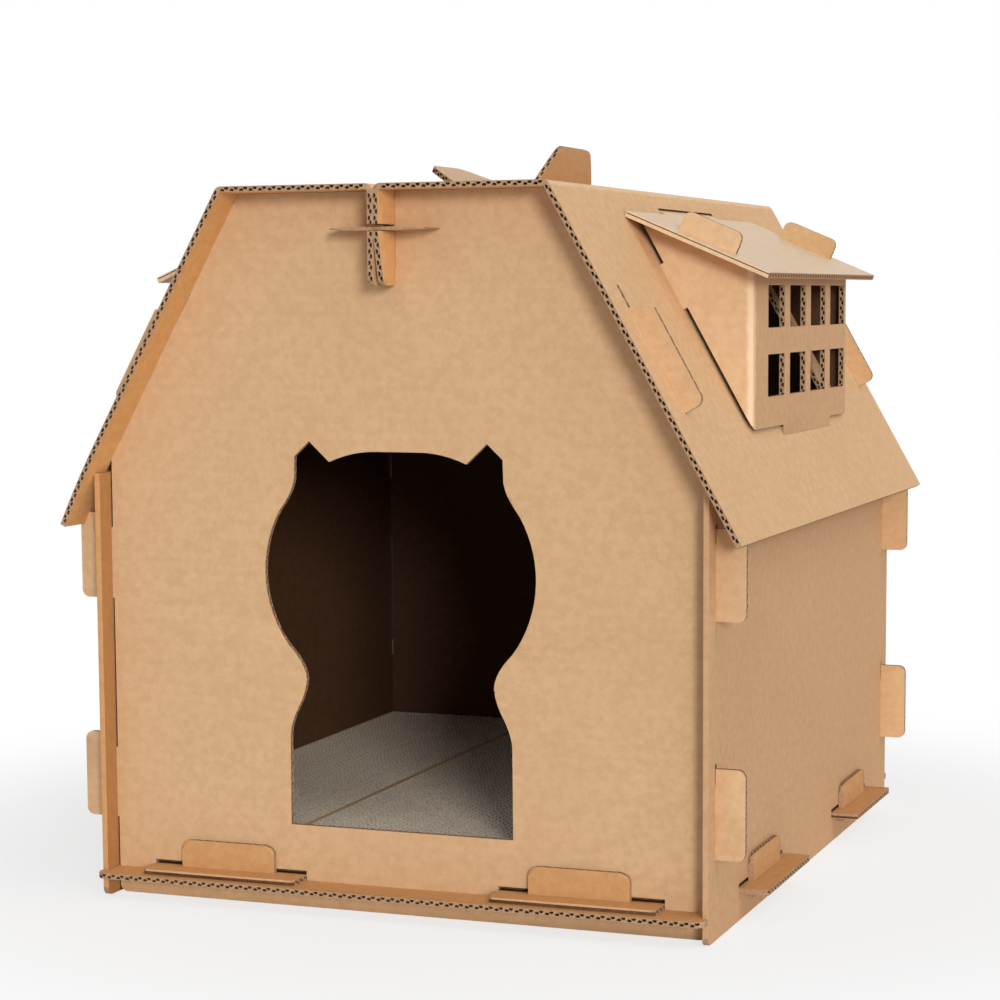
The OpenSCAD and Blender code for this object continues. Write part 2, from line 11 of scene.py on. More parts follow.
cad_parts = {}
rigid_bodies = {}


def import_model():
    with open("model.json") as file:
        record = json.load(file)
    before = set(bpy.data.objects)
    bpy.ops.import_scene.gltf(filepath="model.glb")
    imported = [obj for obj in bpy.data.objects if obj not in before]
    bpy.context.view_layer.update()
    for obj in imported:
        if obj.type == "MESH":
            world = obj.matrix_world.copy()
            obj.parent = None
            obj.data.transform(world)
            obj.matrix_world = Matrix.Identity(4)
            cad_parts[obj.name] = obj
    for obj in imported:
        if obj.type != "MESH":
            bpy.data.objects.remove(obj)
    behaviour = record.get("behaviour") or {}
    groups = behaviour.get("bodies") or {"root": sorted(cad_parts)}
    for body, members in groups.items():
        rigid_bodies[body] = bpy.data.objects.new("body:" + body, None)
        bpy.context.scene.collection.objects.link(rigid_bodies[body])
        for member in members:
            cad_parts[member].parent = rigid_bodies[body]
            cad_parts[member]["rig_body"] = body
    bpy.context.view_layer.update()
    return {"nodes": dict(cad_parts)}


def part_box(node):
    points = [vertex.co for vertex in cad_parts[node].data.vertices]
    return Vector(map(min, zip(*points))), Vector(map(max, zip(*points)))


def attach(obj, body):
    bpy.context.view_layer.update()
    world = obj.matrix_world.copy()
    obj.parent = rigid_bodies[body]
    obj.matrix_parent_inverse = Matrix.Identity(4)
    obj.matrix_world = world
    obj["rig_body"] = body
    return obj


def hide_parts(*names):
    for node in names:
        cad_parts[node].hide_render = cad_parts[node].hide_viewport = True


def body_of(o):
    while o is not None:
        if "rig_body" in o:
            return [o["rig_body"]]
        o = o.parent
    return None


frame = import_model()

bl_info = {
    "name": "Cardboard cat condo",
    "version": (1, 0, 0),
    "blender": (4, 5, 0),
    "location": "View3D > Sidebar > Cat condo",
    "description": "Fluted boards, scratch pads, paper finishes and a stage for the packed house",
    "category": "Object",
}

X_AXIS = Vector((1, 0, 0))
Y_AXIS = Vector((0, 1, 0))
Z_AXIS = Vector((0, 0, 1))

# slots of a board's mesh: outer liner, cut edge, hollow, inner liner, and one for a dormer's cheeks, the
# roof's flange or a wall's rim
FACE, EDGE, HOLLOW, INNER, CHEEK = 0, 1, 2, 3, 4

# slots of a pad's mesh, besides its hollows: cut paper on top, kraft strip at the sides, and at the ends the
# boards' hollow paper, which paints shade there
PAD_TOP, PAD_STRIP, PAD_END = 0, 1, 3

# sizes that the frame gives
BOARD_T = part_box("left_wall")[1].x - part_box("left_wall")[0].x
ROOF_LOW, ROOF_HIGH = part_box("roof_right")
BAY_LOW, BAY_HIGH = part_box("dormer_right_shell")

# sizes of the frame that its boxes don't give: width of the flat top, height of the eave, fall of the
# dormer's roof in degrees, and the line where its underside meets the slope
TOP_W = 0.254
EAVE_Z = 0.284
BAY_PITCH = 23.0
BAY_TOP_X, BAY_TOP_Z = 0.13922, 0.51219

MERGE = 1e-6         # points closer than this are one
ON_FACE = 0.0004     # a point this close to a surface lies on it
AT_EDGE = 0.0005     # and this close to an edge, at that edge
LINER_PAST = 0.012   # liner beyond the last hollow that still belongs to a slab
FOLD_W = 0.0095      # width of the rounded paper beside a fold
FOLD_INSET = 0.002   # depth of a dormer fold's axis under the outer faces
UV_GAP = 0.05        # gap between two slabs in the UV map


def length(name, text, default):
    return FloatProperty(name=name, description=text, default=default, unit="LENGTH", precision=4)


def colour(name, text, default):
    return FloatVectorProperty(name=name, description=text, default=default, subtype="COLOR",
                               size=3, min=0.0, max=1.0)


def share(name, text, default):
    return FloatProperty(name=name, description=text, default=default, min=0.0)


def angle(name, text, default):
    return FloatProperty(name=name, description=text, default=math.radians(default), unit="ROTATION")


class CondoBoards(bpy.types.PropertyGroup):
    """Corrugated board and the planes it lies in."""
    board_t: length("Board thickness", "Thickness of the corrugated board", BOARD_T)
    pitch: length("Flute pitch", "Distance from one wave of the medium to the next", 0.0077)
    liner_t: length("Liner", "Thickness of the flat outer paper", 0.0007)
    medium_t: length("Medium", "Thickness of the wavy paper", 0.0010)
    open_share: share("Open share", "Half width of a hollow as a share of the pitch", 0.20)
    lean_share: share("Lean share", "Step from one hollow to its neighbour as a share of the pitch", 0.42)
    crushed: length("Crushed at a fold", "Width without hollows beside a fold", 0.0025)
    margin: length("Closed margin", "Width without hollows along an edge that follows the flutes", 0.0022)
    pinch_outer: length("Outer rounding", "Rounding of an edge that follows the flutes, outer side", 0.0027)
    pinch_inner: length("Inner rounding", "Rounding of the same edge, inner side", 0.0006)
    pinch_key: length("Ridge key rounding", "Rounding of the ridge keys' long edges", 0.0016)
    lip_high: length("Upper lip", "Paper above the flute that lies open along a floor tab", 0.0015)
    rake_groove: length("Rake flute", "Top of the flute along a dormer roof's rake, from mid thickness", 0.0012)
    key_crush: share("Ridge key crush", "Share of the board's thickness that the crushed ridge keys keep", 0.64)
    key_taper: share("Ridge key taper", "Share of their thickness that the ridge keys lose at their ends", 0.80)
    ply_splay: length("Ply splay", "Splay of the right flange's lower front corner", 0.0042)
    eave_curl: length("Eave curl", "Curl of the left eave's front corner", 0.0046)
    overrun: length("Overrun", "Length of the hollows past the board's ends", 0.004)
    seam_x: length("Seam", "Place of the roof's seam", ROOF_LOW.x)
    top_w: length("Flat top", "Width of the roof's flat top", TOP_W)
    top_z: length("Top height", "Height of the flat top", ROOF_HIGH.z)
    roof_w: length("Roof width", "Width of the roof over the eaves", 2 * ROOF_HIGH.x)
    eave_z: length("Eave height", "Height of the eave's outer edge", EAVE_Z)
    flange_h: length("Flange", "Height of the flange under the seam", 0.072)
    crease_z: length("Tongue crease", "Height of the seam tongues' crease", ROOF_HIGH.z + 0.0003 + BOARD_T / 2)
    tongue_l: length("Tongue length", "Length of a seam tongue", 0.044)
    tongue_round: length("Tongue shoulder", "Width that a seam tongue's shoulders lose at its tip", 0.004)
    tongue_worn: length("Worn side", "Width that the left tongue's rear side loses", 0.012)
    right_lean: angle("Right tongue", "Angle of the right tongue above the top", 71.5)
    left_lean: angle("Left tongue", "Angle of the left tongue above the top", 24.5)
    dormer_x: length("Dormer face", "Distance of the window face from the middle", BAY_HIGH.x)
    dormer_w: length("Dormer width", "Width over the dormer's cheeks", BAY_HIGH.y - BAY_LOW.y)
    dormer_back: length("Dormer place", "Distance of the dormers behind the middle",
                        (BAY_HIGH.y + BAY_LOW.y) / 2)
    dormer_pitch: angle("Dormer pitch", "Fall of the dormer's roof", BAY_PITCH)
    dormer_top_x: length("Dormer top", "Where the dormer roof's underside meets the slope", BAY_TOP_X)
    dormer_top_z: length("Dormer top height", "Height of that line", BAY_TOP_Z)


class CondoDoor(bpy.types.PropertyGroup):
    """Sides of the door, as the frame has them, and how far their corners are eased."""
    width: length("Width", "Width of the door below the shoulders", 0.177)
    shoulder_z: length("Shoulder", "Height where the shoulders start to slope in", 0.137)
    neck_w: length("Neck", "Width of the neck", 0.148)
    neck_z: length("Neck height", "Height where the neck starts", 0.165)
    head_w: length("Head", "Width of the head", 0.214)
    cheek_r: length("Cheek", "Radius of the cheeks", 0.090)
    head_z: length("Head height", "Height of the head's middle", 0.252)
    ear_x: length("Ear", "Distance of the ears' outer sides from the middle", 0.082)
    ease: length("Ease", "Half the height over which a corner of the door's sides is rounded", 0.011)


class CondoPads(bpy.types.PropertyGroup):
    """Scratch pads made from strips of board on edge."""
    strip_t: length("Strip", "Thickness of one strip of a pad", 0.0045)
    side_band: length("Side band", "Width of the plain kraft strip along a pad's sides", 0.0022)
    depth: length("Open depth", "Depth to which the strips are open", 0.004)
    open_share: share("Open share", "Half width of a hollow as a share of the pitch", 0.22)


class CondoFinish(bpy.types.PropertyGroup):
    """Colours of the paper; some of them paint shade or light, as their comments say."""
    kraft: colour("Kraft", "Outer liner of the board", (0.640, 0.400, 0.215))
    inner: colour("Inner kraft", "Inner liner of the board", (0.610, 0.315, 0.125))
    # painted shade: the dark tone that inner liners take inside the house, where little light reaches
    inside_shade: colour("Cabin", "Inner liner inside the house", (0.085, 0.036, 0.015))
    cut_edge: colour("Cut edge", "Edge of the paper where the board is cut", (0.425, 0.268, 0.164))
    # the flutes' insides: a darker medium paper, and painted shade deep in the flutes
    hollow: colour("Hollow", "Inside of the flutes", (0.220, 0.115, 0.058))
    # pale cut paper, brightened further: painted light on the pads
    pad: colour("Pad", "Cut paper on the top of the pads", (1.000, 0.850, 0.710))
    # the pads' flute insides: darker paper, and painted shade
    pad_hollow: colour("Pad hollow", "Inside of the pads' flutes", (0.560, 0.430, 0.320))
    pad_strip: colour("Pad strip", "Kraft strip along the pads' seams", (0.620, 0.370, 0.180))


class CondoStage(bpy.types.PropertyGroup):
    """Camera, floor and light."""
    azimuth: angle("Azimuth", "Camera's angle to the right of the front", 20.583)
    elevation: angle("Elevation", "Camera's angle above the level", 6.189)
    roll: angle("Roll", "Turn of the camera about its axis", -0.324)
    distance: length("Distance", "Camera to the aimed point", 1.975041)
    aim: FloatVectorProperty(name="Aim", description="Point the camera looks at", size=3, subtype="XYZ",
                             default=(0.036526, -0.138, 0.240185), precision=4)
    lens: share("Lens", "Focal length in millimetres on a 36 mm sensor", 92.0574)
    shift_x: FloatProperty(name="Shift X", description="Lens shift across", default=-0.009065)
    shift_y: FloatProperty(name="Shift Y", description="Lens shift up", default=0.074682)
    floor: colour("Floor", "Pale floor", (0.90, 0.90, 0.90))
    ambient: share("Ambient", "Strength of the even light from all round", 0.22)
    key: share("Key", "Strength of the large soft lamp in front", 1.87)
    key_azimuth: angle("Key azimuth", "Lamp's angle to the right of the front", 33.0)
    key_height: angle("Key height", "Lamp's angle above the level", 11.0)
    key_spread: angle("Key spread", "Apparent width of the lamp", 16.0)
    side: share("Side light", "Strength of the soft lamp at the right", 0.70)
    side_azimuth: angle("Side azimuth", "Lamp's angle to the right of the front", 75.0)
    side_height: angle("Side height", "Lamp's angle above the level", 50.0)
    side_spread: angle("Side spread", "Apparent width of the lamp", 40.0)
    fill: share("Fill light", "Strength of the wide lamp above the camera", 0.40)
    fill_azimuth: angle("Fill azimuth", "Lamp's angle to the right of the front", 5.0)
    fill_height: angle("Fill height", "Lamp's angle above the level", 48.0)
    fill_spread: angle("Fill spread", "Apparent width of the lamp", 60.0)


def settings():
    return bpy.context.scene.condo_boards, bpy.context.scene.condo_finish


def body_of_node(node):
    """Name of the body that a node of the frame belongs to."""
    return body_of(frame["nodes"][node])[0]


# A flat stretch of board: a point of its middle plane, the direction of its flutes, the direction in
# which they follow one another, the stretch that the hollows take up in both, and the outer side.
Slab = namedtuple("Slab", "mid along stack reach rise outer")


def slab_normal(slab):
    return slab.along.cross(slab.stack)


def flat_slab(node, along, stack, outer):
    """Slab of a board that lies square to the frame's axes."""
    board, _ = settings()
    low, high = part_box(node)
    mid = (low + high) / 2
    half = (high - low) / 2
    reach = abs(half.dot(along)) + board.overrun
    rise = abs(half.dot(stack)) - board.margin
    return Slab(mid, along, stack, (-reach, reach), (-rise, rise), outer)


def hollow_outline(board, pitch, half_open, side, points):
    """Section of one hollow between a liner and the wave: its flat edge, then the curve."""
    inner = board.board_t / 2 - board.liner_t
    swing = inner - board.medium_t / 2
    outline = [(-half_open, inner), (half_open, inner)]
    for step in range(points):
        place = half_open - 2 * half_open * step / (points - 1)
        outline.append((place, board.medium_t / 2 - swing * math.cos(2 * math.pi * place / pitch)))
    if side < 0:
        outline = [(place + board.lean_share * pitch, -height) for place, height in reversed(outline)]
    return outline


def draw_out(bm, faces, slab):
    """Draws faces out along the slab's flutes into closed prisms, and gives the points of their far ends."""
    grown = bmesh.ops.extrude_face_region(bm, geom=list(faces))["geom"]
    far = [part for part in grown if isinstance(part, bmesh.types.BMVert)]
    bmesh.ops.translate(bm, verts=far, vec=slab.along * (slab.reach[1] - slab.reach[0]))
    return far


def cut_hollows(bm, board, slab, open_share, points=7):
    """Adds the hollows of one slab as closed prisms that fill its rise."""
    first = slab.rise[0]
    count = max(1, int(round((slab.rise[1] - first) / board.pitch)))
    pitch = (slab.rise[1] - first) / count
    normal = slab_normal(slab)
    faces = []
    for side in (1, -1):
        verts = []
        for place, height in hollow_outline(board, pitch, open_share * pitch, side, points):
            at = slab.mid + slab.stack * (first + 0.25 * pitch + place) + normal * height
            verts.append(bm.verts.new(at + slab.along * slab.reach[0]))
        faces.append(bm.faces.new(verts))
    body = set(draw_out(bm, faces, slab))
    for face in faces:
        body.update(face.verts)
    shell = {f for v in body for f in v.link_faces}
    edges = {e for f in shell for e in f.edges}
    if count > 1:
        bmesh.ops.spin(bm, geom=list(body) + list(edges) + list(shell), cent=(0, 0, 0), axis=slab.stack,
                       dvec=slab.stack * pitch, angle=0.0, steps=count - 1, use_duplicate=True)


def pinch_edges(bm, slab, board, outer_round, inner_round):
    """Rounds the long edges that follow the flutes, where the cut closes the board."""
    bmesh.ops.dissolve_limit(bm, angle_limit=math.radians(0.5), verts=bm.verts, edges=bm.edges)
    across = slab_normal(slab)
    rim = slab.rise[1] + board.margin
    for facing, offset in ((1, outer_round), (-1, inner_round)):
        chosen = []
        for edge in bm.edges:
            run = edge.verts[1].co - edge.verts[0].co
            if len(edge.link_faces) != 2 or run.length < 0.02:
                continue
            if abs(run.normalized().dot(slab.along)) < 0.9999:
                continue
            if abs(abs((edge.verts[0].co - slab.mid).dot(slab.stack)) - rim) > AT_EDGE:
                continue
            flat, main = sorted(edge.link_faces, key=lambda face: abs(face.normal.dot(across)))
            if abs(flat.normal.dot(across)) < 0.1 and main.normal.dot(slab.outer) * facing > 0.99:
                chosen.append(edge)
        bmesh.ops.bevel(bm, geom=chosen, offset=offset, offset_type="OFFSET", affect="EDGES", segments=4,
                        profile=0.5, material=-1, clamp_overlap=True)


def split(bm, point, normal):
    """Cuts the mesh along a plane and keeps both sides."""
    bmesh.ops.bisect_plane(bm, geom=list(bm.verts) + list(bm.edges) + list(bm.faces), dist=MERGE,
                           plane_co=point, plane_no=normal)


def bend(piece, cuts, move):
    """Splits the mesh along planes, then moves its points as paper gives way."""
    bm = bmesh.new()
    bm.from_mesh(piece.data)
    for point, normal in cuts:
        split(bm, point, normal)
    for vert in bm.verts:
        vert.co += move(vert.co)
    bm.to_mesh(piece.data)
    bm.free()


def ramp(value, start, end):
    """0 before start, 1 after end, straight between them."""
    return min(1.0, max(0.0, (value - start) / (end - start)))


def merged_copy(node):
    """The node's mesh with its loose triangles joined."""
    bm = bmesh.new()
    bm.from_mesh(frame["nodes"][node].data)
    bmesh.ops.remove_doubles(bm, verts=bm.verts, dist=MERGE)
    bmesh.ops.dissolve_degenerate(bm, edges=bm.edges, dist=0.1 * MERGE)
    return bm


def new_piece(name, bm):
    mesh = bpy.data.meshes.new(name)
    bm.to_mesh(mesh)
    bm.free()
    piece = bpy.data.objects.new(name, mesh)
    bpy.context.scene.collection.objects.link(piece)
    return piece


def take_away(piece, tool):
    """Cuts tool out of piece and keeps the result as piece's mesh."""
    cutter = piece.modifiers.new("hollows", "BOOLEAN")
    cutter.operation = "DIFFERENCE"
    cutter.solver = "MANIFOLD"
    cutter.object = tool
    bpy.context.view_layer.update()
    ready = piece.evaluated_get(bpy.context.evaluated_depsgraph_get())
    result = bpy.data.meshes.new_from_object(ready)
    piece.modifiers.clear()
    old = piece.data
    name = old.name
    piece.data = result
    bpy.data.meshes.remove(old)
    result.name = name
    spare = tool.data
    bpy.data.objects.remove(tool)
    bpy.data.meshes.remove(spare)
    if len(result.polygons) < 6:
        raise RuntimeError("the hollows of " + piece.name + " were not cut")


def slab_of(face_mid, normal, slabs, board):
    """The slab whose outer faces hold this face, or None."""
    for slab in slabs:
        across = slab_normal(slab)
        if abs(normal.dot(across)) < 0.985:
            continue
        off = face_mid - slab.mid
        if abs(abs(off.dot(across)) - board.board_t / 2) > ON_FACE:
            continue
        rise = off.dot(slab.stack)
        if slab.rise[0] - LINER_PAST <= rise <= slab.rise[1] + LINER_PAST:
            return slab
    return None


def near_fold(face_mid, normal, folds):
    """Whether a face belongs to the rounded paper of a fold."""
    for point, axis in folds:
        if abs(normal.dot(axis)) > 0.2:
            continue
        off = face_mid - point
        if (off - axis * off.dot(axis)).length < FOLD_W:
            return True
    return False


def mark_faces(mesh, slabs, folds, board, pinched, rim):
    """Sorts the faces into outer liner, inner liner and cut edges; rim is the paper of the long rims."""
    main = slabs[0]
    for face in mesh.polygons:
        if face.material_index == HOLLOW:
            continue
        slab = slab_of(face.center, face.normal, slabs, board)
        past = abs((face.center - main.mid).dot(main.stack)) - main.rise[1]
        lengthwise = abs(face.normal.dot(main.along)) < 0.05
        if slab is None and rim is not None and lengthwise and past > board.margin - 0.001:
            face.material_index = rim
            continue
        if slab is None and near_fold(face.center, face.normal, folds):
            slab = max(slabs, key=lambda s: face.normal.dot(s.outer))
        if slab is None and pinched and lengthwise and past > -0.0006:
            rolled = abs(face.normal.dot(slab_normal(main))) > 0.25
            slab = main if rolled else None
        if slab is None:
            face.material_index = EDGE
        else:
            face.material_index = FACE if face.normal.dot(slab.outer) > -0.1 else INNER


def lay_grain(mesh, slabs, board):
    """UV map in metres: U runs along the flutes, V across them."""
    layer = mesh.uv_layers.new(name="grain")
    start = {}
    total = 0.0
    for slab in slabs:
        start[id(slab)] = total - slab.rise[0]
        total += slab.rise[1] - slab.rise[0] + UV_GAP
    for face in mesh.polygons:
        slab = slab_of(face.center, face.normal, slabs, board)
        if slab is None:
            slab = max(slabs, key=lambda s: abs(face.normal.dot(slab_normal(s))))
        for loop in face.loop_indices:
            off = mesh.vertices[mesh.loops[loop].vertex_index].co - slab.mid
            layer.data[loop].uv = (off.dot(slab.along), off.dot(slab.stack) + start[id(slab)])


def open_flute(bm, board, slab, groove):
    """Adds a groove along both long rims, where the cut runs through a flute."""
    rim = slab.rise[1] + board.margin
    for side in (-1, 1):
        verts = []
        for place, level in ((rim - board.margin, groove[0]), (rim + board.margin, groove[0]),
                             (rim + board.margin, groove[1]), (rim - board.margin, groove[1])):
            at = slab.mid + slab.stack * side * place + slab.outer * level
            verts.append(bm.verts.new(at + slab.along * slab.reach[0]))
        draw_out(bm, [bm.faces.new(verts)], slab)


def fluted_board(node, slabs, finish_and_light, folds=(), pinch=None, rim=None, groove=None):
    """One board of the house: the CAD outline with real hollows between its liners."""
    board, _ = settings()
    bm = merged_copy(node)
    if pinch:
        pinch_edges(bm, slabs[0], board, *pinch)
    piece = new_piece(node + "_board", bm)
    for paper in board_papers(finish_and_light):
        piece.data.materials.append(paper)
    for face in piece.data.polygons:
        face.material_index = FACE
    cores = bmesh.new()
    for slab in slabs:
        cut_hollows(cores, board, slab, board.open_share)
    if groove:
        open_flute(cores, board, slabs[0], groove)
    bmesh.ops.recalc_face_normals(cores, faces=cores.faces)
    for face in cores.faces:
        face.material_index = HOLLOW
    tool = new_piece(node + "_hollows", cores)
    for paper in board_papers(finish_and_light):
        tool.data.materials.append(paper)
    take_away(piece, tool)
    mark_faces(piece.data, slabs, folds, board, pinch is not None, rim)
    lay_grain(piece.data, slabs, board)
    piece.data.shade_smooth()
    piece.data.set_sharp_from_angle(angle=math.radians(28))
    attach(piece, body_of_node(node))
    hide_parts(node)
    return piece


def node_group(name, inputs, outputs):
    group = bpy.data.node_groups.new(name, "ShaderNodeTree")
    for title, kind in inputs:
        group.interface.new_socket(title, in_out="INPUT", socket_type=kind)
    for title, kind in outputs:
        group.interface.new_socket(title, in_out="OUTPUT", socket_type=kind)
    return group, group.nodes.new("NodeGroupInput"), group.nodes.new("NodeGroupOutput")


def feed(tree, socket, value):
    """Links another node's output to a socket, or sets the socket's own value, a colour's without alpha."""
    if isinstance(value, bpy.types.NodeSocket):
        tree.links.new(value, socket)
    else:
        socket.default_value = (*value, 1.0) if socket.type == "RGBA" else value


def math_node(tree, operation, *values):
    node = tree.nodes.new("ShaderNodeMath")
    node.operation = operation
    for socket, value in zip(node.inputs, values):
        feed(tree, socket, value)
    return node.outputs[0]


def range_node(tree, value, low, high, to_low=0.0, to_high=1.0):
    node = tree.nodes.new("ShaderNodeMapRange")
    node.interpolation_type = "SMOOTHSTEP"
    tree.links.new(value, node.inputs["Value"])
    for title, number in (("From Min", low), ("From Max", high), ("To Min", to_low), ("To Max", to_high)):
        node.inputs[title].default_value = number
    return node.outputs["Result"]


def mix_node(tree, factor, first, second):
    node = tree.nodes.new("ShaderNodeMix")
    node.data_type = "RGBA"
    for title, value in (("Factor", factor), ("A", first), ("B", second)):
        feed(tree, node.inputs[title], value)
    return node.outputs["Result"]


def stretched(tree, vector, scale, place=(0.0, 0.0, 0.0)):
    node = tree.nodes.new("ShaderNodeMapping")
    node.inputs["Scale"].default_value = scale
    node.inputs["Location"].default_value = place
    tree.links.new(vector, node.inputs["Vector"])
    return node.outputs["Vector"]


def noise(tree, vector, scale, detail=3.0, rough=0.55):
    node = tree.nodes.new("ShaderNodeTexNoise")
    node.inputs["Scale"].default_value = scale
    node.inputs["Detail"].default_value = detail
    node.inputs["Roughness"].default_value = rough
    tree.links.new(vector, node.inputs["Vector"])
    return node.outputs["Fac"]


def object_place(tree):
    return tree.nodes.new("ShaderNodeTexCoord").outputs["Object"]


def seen_rays(tree):
    """1 for rays that show a surface to the camera, straight or mirrored, and 0 for rays of light."""
    rays = tree.nodes.new("ShaderNodeLightPath").outputs
    mirrored = math_node(tree, "MAXIMUM", rays["Is Glossy Ray"], rays["Is Transmission Ray"])
    return math_node(tree, "MAXIMUM", rays["Is Camera Ray"], mirrored)


def paper_fibre_group():
    """Blotches, fibres and clouds of kraft paper, each about a half on average."""
    name = "paper fibre"
    if name in bpy.data.node_groups:
        return bpy.data.node_groups[name]
    group, into, out = node_group(
        name, (("Vector", "NodeSocketVector"),),
        (("Cloud", "NodeSocketFloat"), ("Blotch", "NodeSocketFloat"), ("Fibre", "NodeSocketFloat"),
         ("Height", "NodeSocketFloat")))
    place = into.outputs["Vector"]
    cloud = noise(group, place, 14.0, 2.0, 0.5)
    blotch = noise(group, place, 150.0, 3.0, 0.6)
    fibre = noise(group, stretched(group, place, (330.0, 1100.0, 330.0)), 1.0, 2.0)
    grain = noise(group, place, 1500.0, 1.0)
    group.links.new(range_node(group, cloud, 0.30, 0.70), out.inputs["Cloud"])
    group.links.new(range_node(group, blotch, 0.32, 0.68), out.inputs["Blotch"])
    group.links.new(range_node(group, fibre, 0.32, 0.68), out.inputs["Fibre"])
    group.links.new(math_node(group, "ADD", math_node(group, "MULTIPLY", fibre, 0.6),
                              math_node(group, "MULTIPLY", grain, 0.4)), out.inputs["Height"])
    return group


def washboard_group():
    """Faint lines that the flutes print through the liner."""
    name = "washboard"
    if name in bpy.data.node_groups:
        return bpy.data.node_groups[name]
    board, _ = settings()
    group, into, out = node_group(name, (("Vector", "NodeSocketVector"),), (("Line", "NodeSocketFloat"),))
    split = group.nodes.new("ShaderNodeSeparateXYZ")
    group.links.new(into.outputs["Vector"], split.inputs[0])
    drift = noise(group, stretched(group, into.outputs["Vector"], (6.0, 60.0, 6.0)), 1.0, 1.0)
    phase = math_node(group, "ADD", math_node(group, "MULTIPLY", split.outputs["Y"], 2 * math.pi / board.pitch),
                      math_node(group, "MULTIPLY", drift, 1.6))
    wave = math_node(group, "SINE", phase)
    amount = noise(group, stretched(group, into.outputs["Vector"], (9.0, 38.0, 9.0), (0.3, 4.0, 0.0)), 1.0, 2.0)
    level = math_node(group, "MULTIPLY", wave, range_node(group, amount, 0.35, 0.70, 0.25, 1.0))
    group.links.new(math_node(group, "MULTIPLY_ADD", level, 0.5, 0.5), out.inputs["Line"])
    return group


def fold_rub_and_highlight_group():
    """Paler stripe along a straight fold, rubbed paper with a painted highlight: 1 on the fold, 0 beside it."""
    name = "fold rub"
    if name in bpy.data.node_groups:
        return bpy.data.node_groups[name]
    group, into, out = node_group(
        name,
        (("Vector", "NodeSocketVector"), ("Centre", "NodeSocketVector"), ("Fold", "NodeSocketVector"),
         ("Across", "NodeSocketVector")),
        (("Rub", "NodeSocketFloat"),))

    def vector_math(operation, first, second=None):
        node = group.nodes.new("ShaderNodeVectorMath")
        node.operation = operation
        group.links.new(first, node.inputs[0])
        if second is not None:
            group.links.new(second, node.inputs[1])
        return node

    off = vector_math("SUBTRACT", into.outputs["Vector"], into.outputs["Centre"]).outputs[0]
    off = vector_math("ABSOLUTE", off).outputs[0]
    off = vector_math("SUBTRACT", off, into.outputs["Fold"]).outputs[0]
    off = vector_math("MULTIPLY", off, into.outputs["Across"]).outputs[0]
    far = vector_math("LENGTH", off).outputs["Value"]
    wobble = math_node(group, "MULTIPLY_ADD", noise(group, into.outputs["Vector"], 70.0, 3.0), 0.006, far)
    group.links.new(range_node(group, wobble, 0.0050, 0.0082, 1.0, 0.0), out.inputs["Rub"])
    return group


def use_group(tree, group, **links):
    node = tree.nodes.new("ShaderNodeGroup")
    node.node_tree = group
    for title, value in links.items():
        feed(tree, node.inputs[title], value)
    return node.outputs


def new_paper(name, roughness, level):
    paper = bpy.data.materials.new(name)
    paper.use_nodes = True
    tree = paper.node_tree
    shader = tree.nodes["Principled BSDF"]
    shader.inputs["Roughness"].default_value = roughness
    shader.inputs["Specular IOR Level"].default_value = level
    return tree, shader


def bump(tree, shader, height, strength, distance):
    node = tree.nodes.new("ShaderNodeBump")
    node.inputs["Strength"].default_value = strength
    node.inputs["Distance"].default_value = distance
    tree.links.new(height, node.inputs["Height"])
    tree.links.new(node.outputs["Normal"], shader.inputs["Normal"])


def tinted(tone, factor):
    return tuple(min(1.0, part * scale) for part, scale in zip(tone, factor))


def skin(fall, side, height):
    """A slanting ceiling of the painted shade inside the house: both parts of its normal, and its distance
    along that.
    """
    return (math.sin(fall), math.cos(fall), side * math.sin(fall) + height * math.cos(fall))


# ceilings of the painted inside shade: the roof's slope and the dormer's roof
ROOF_SHADE_CEILING = skin(math.atan2(ROOF_HIGH.z - EAVE_Z, ROOF_HIGH.x - TOP_W / 2), TOP_W / 2, ROOF_HIGH.z)
BAY_SHADE_CEILING = skin(math.radians(BAY_PITCH), BAY_TOP_X, BAY_TOP_Z + BOARD_T)

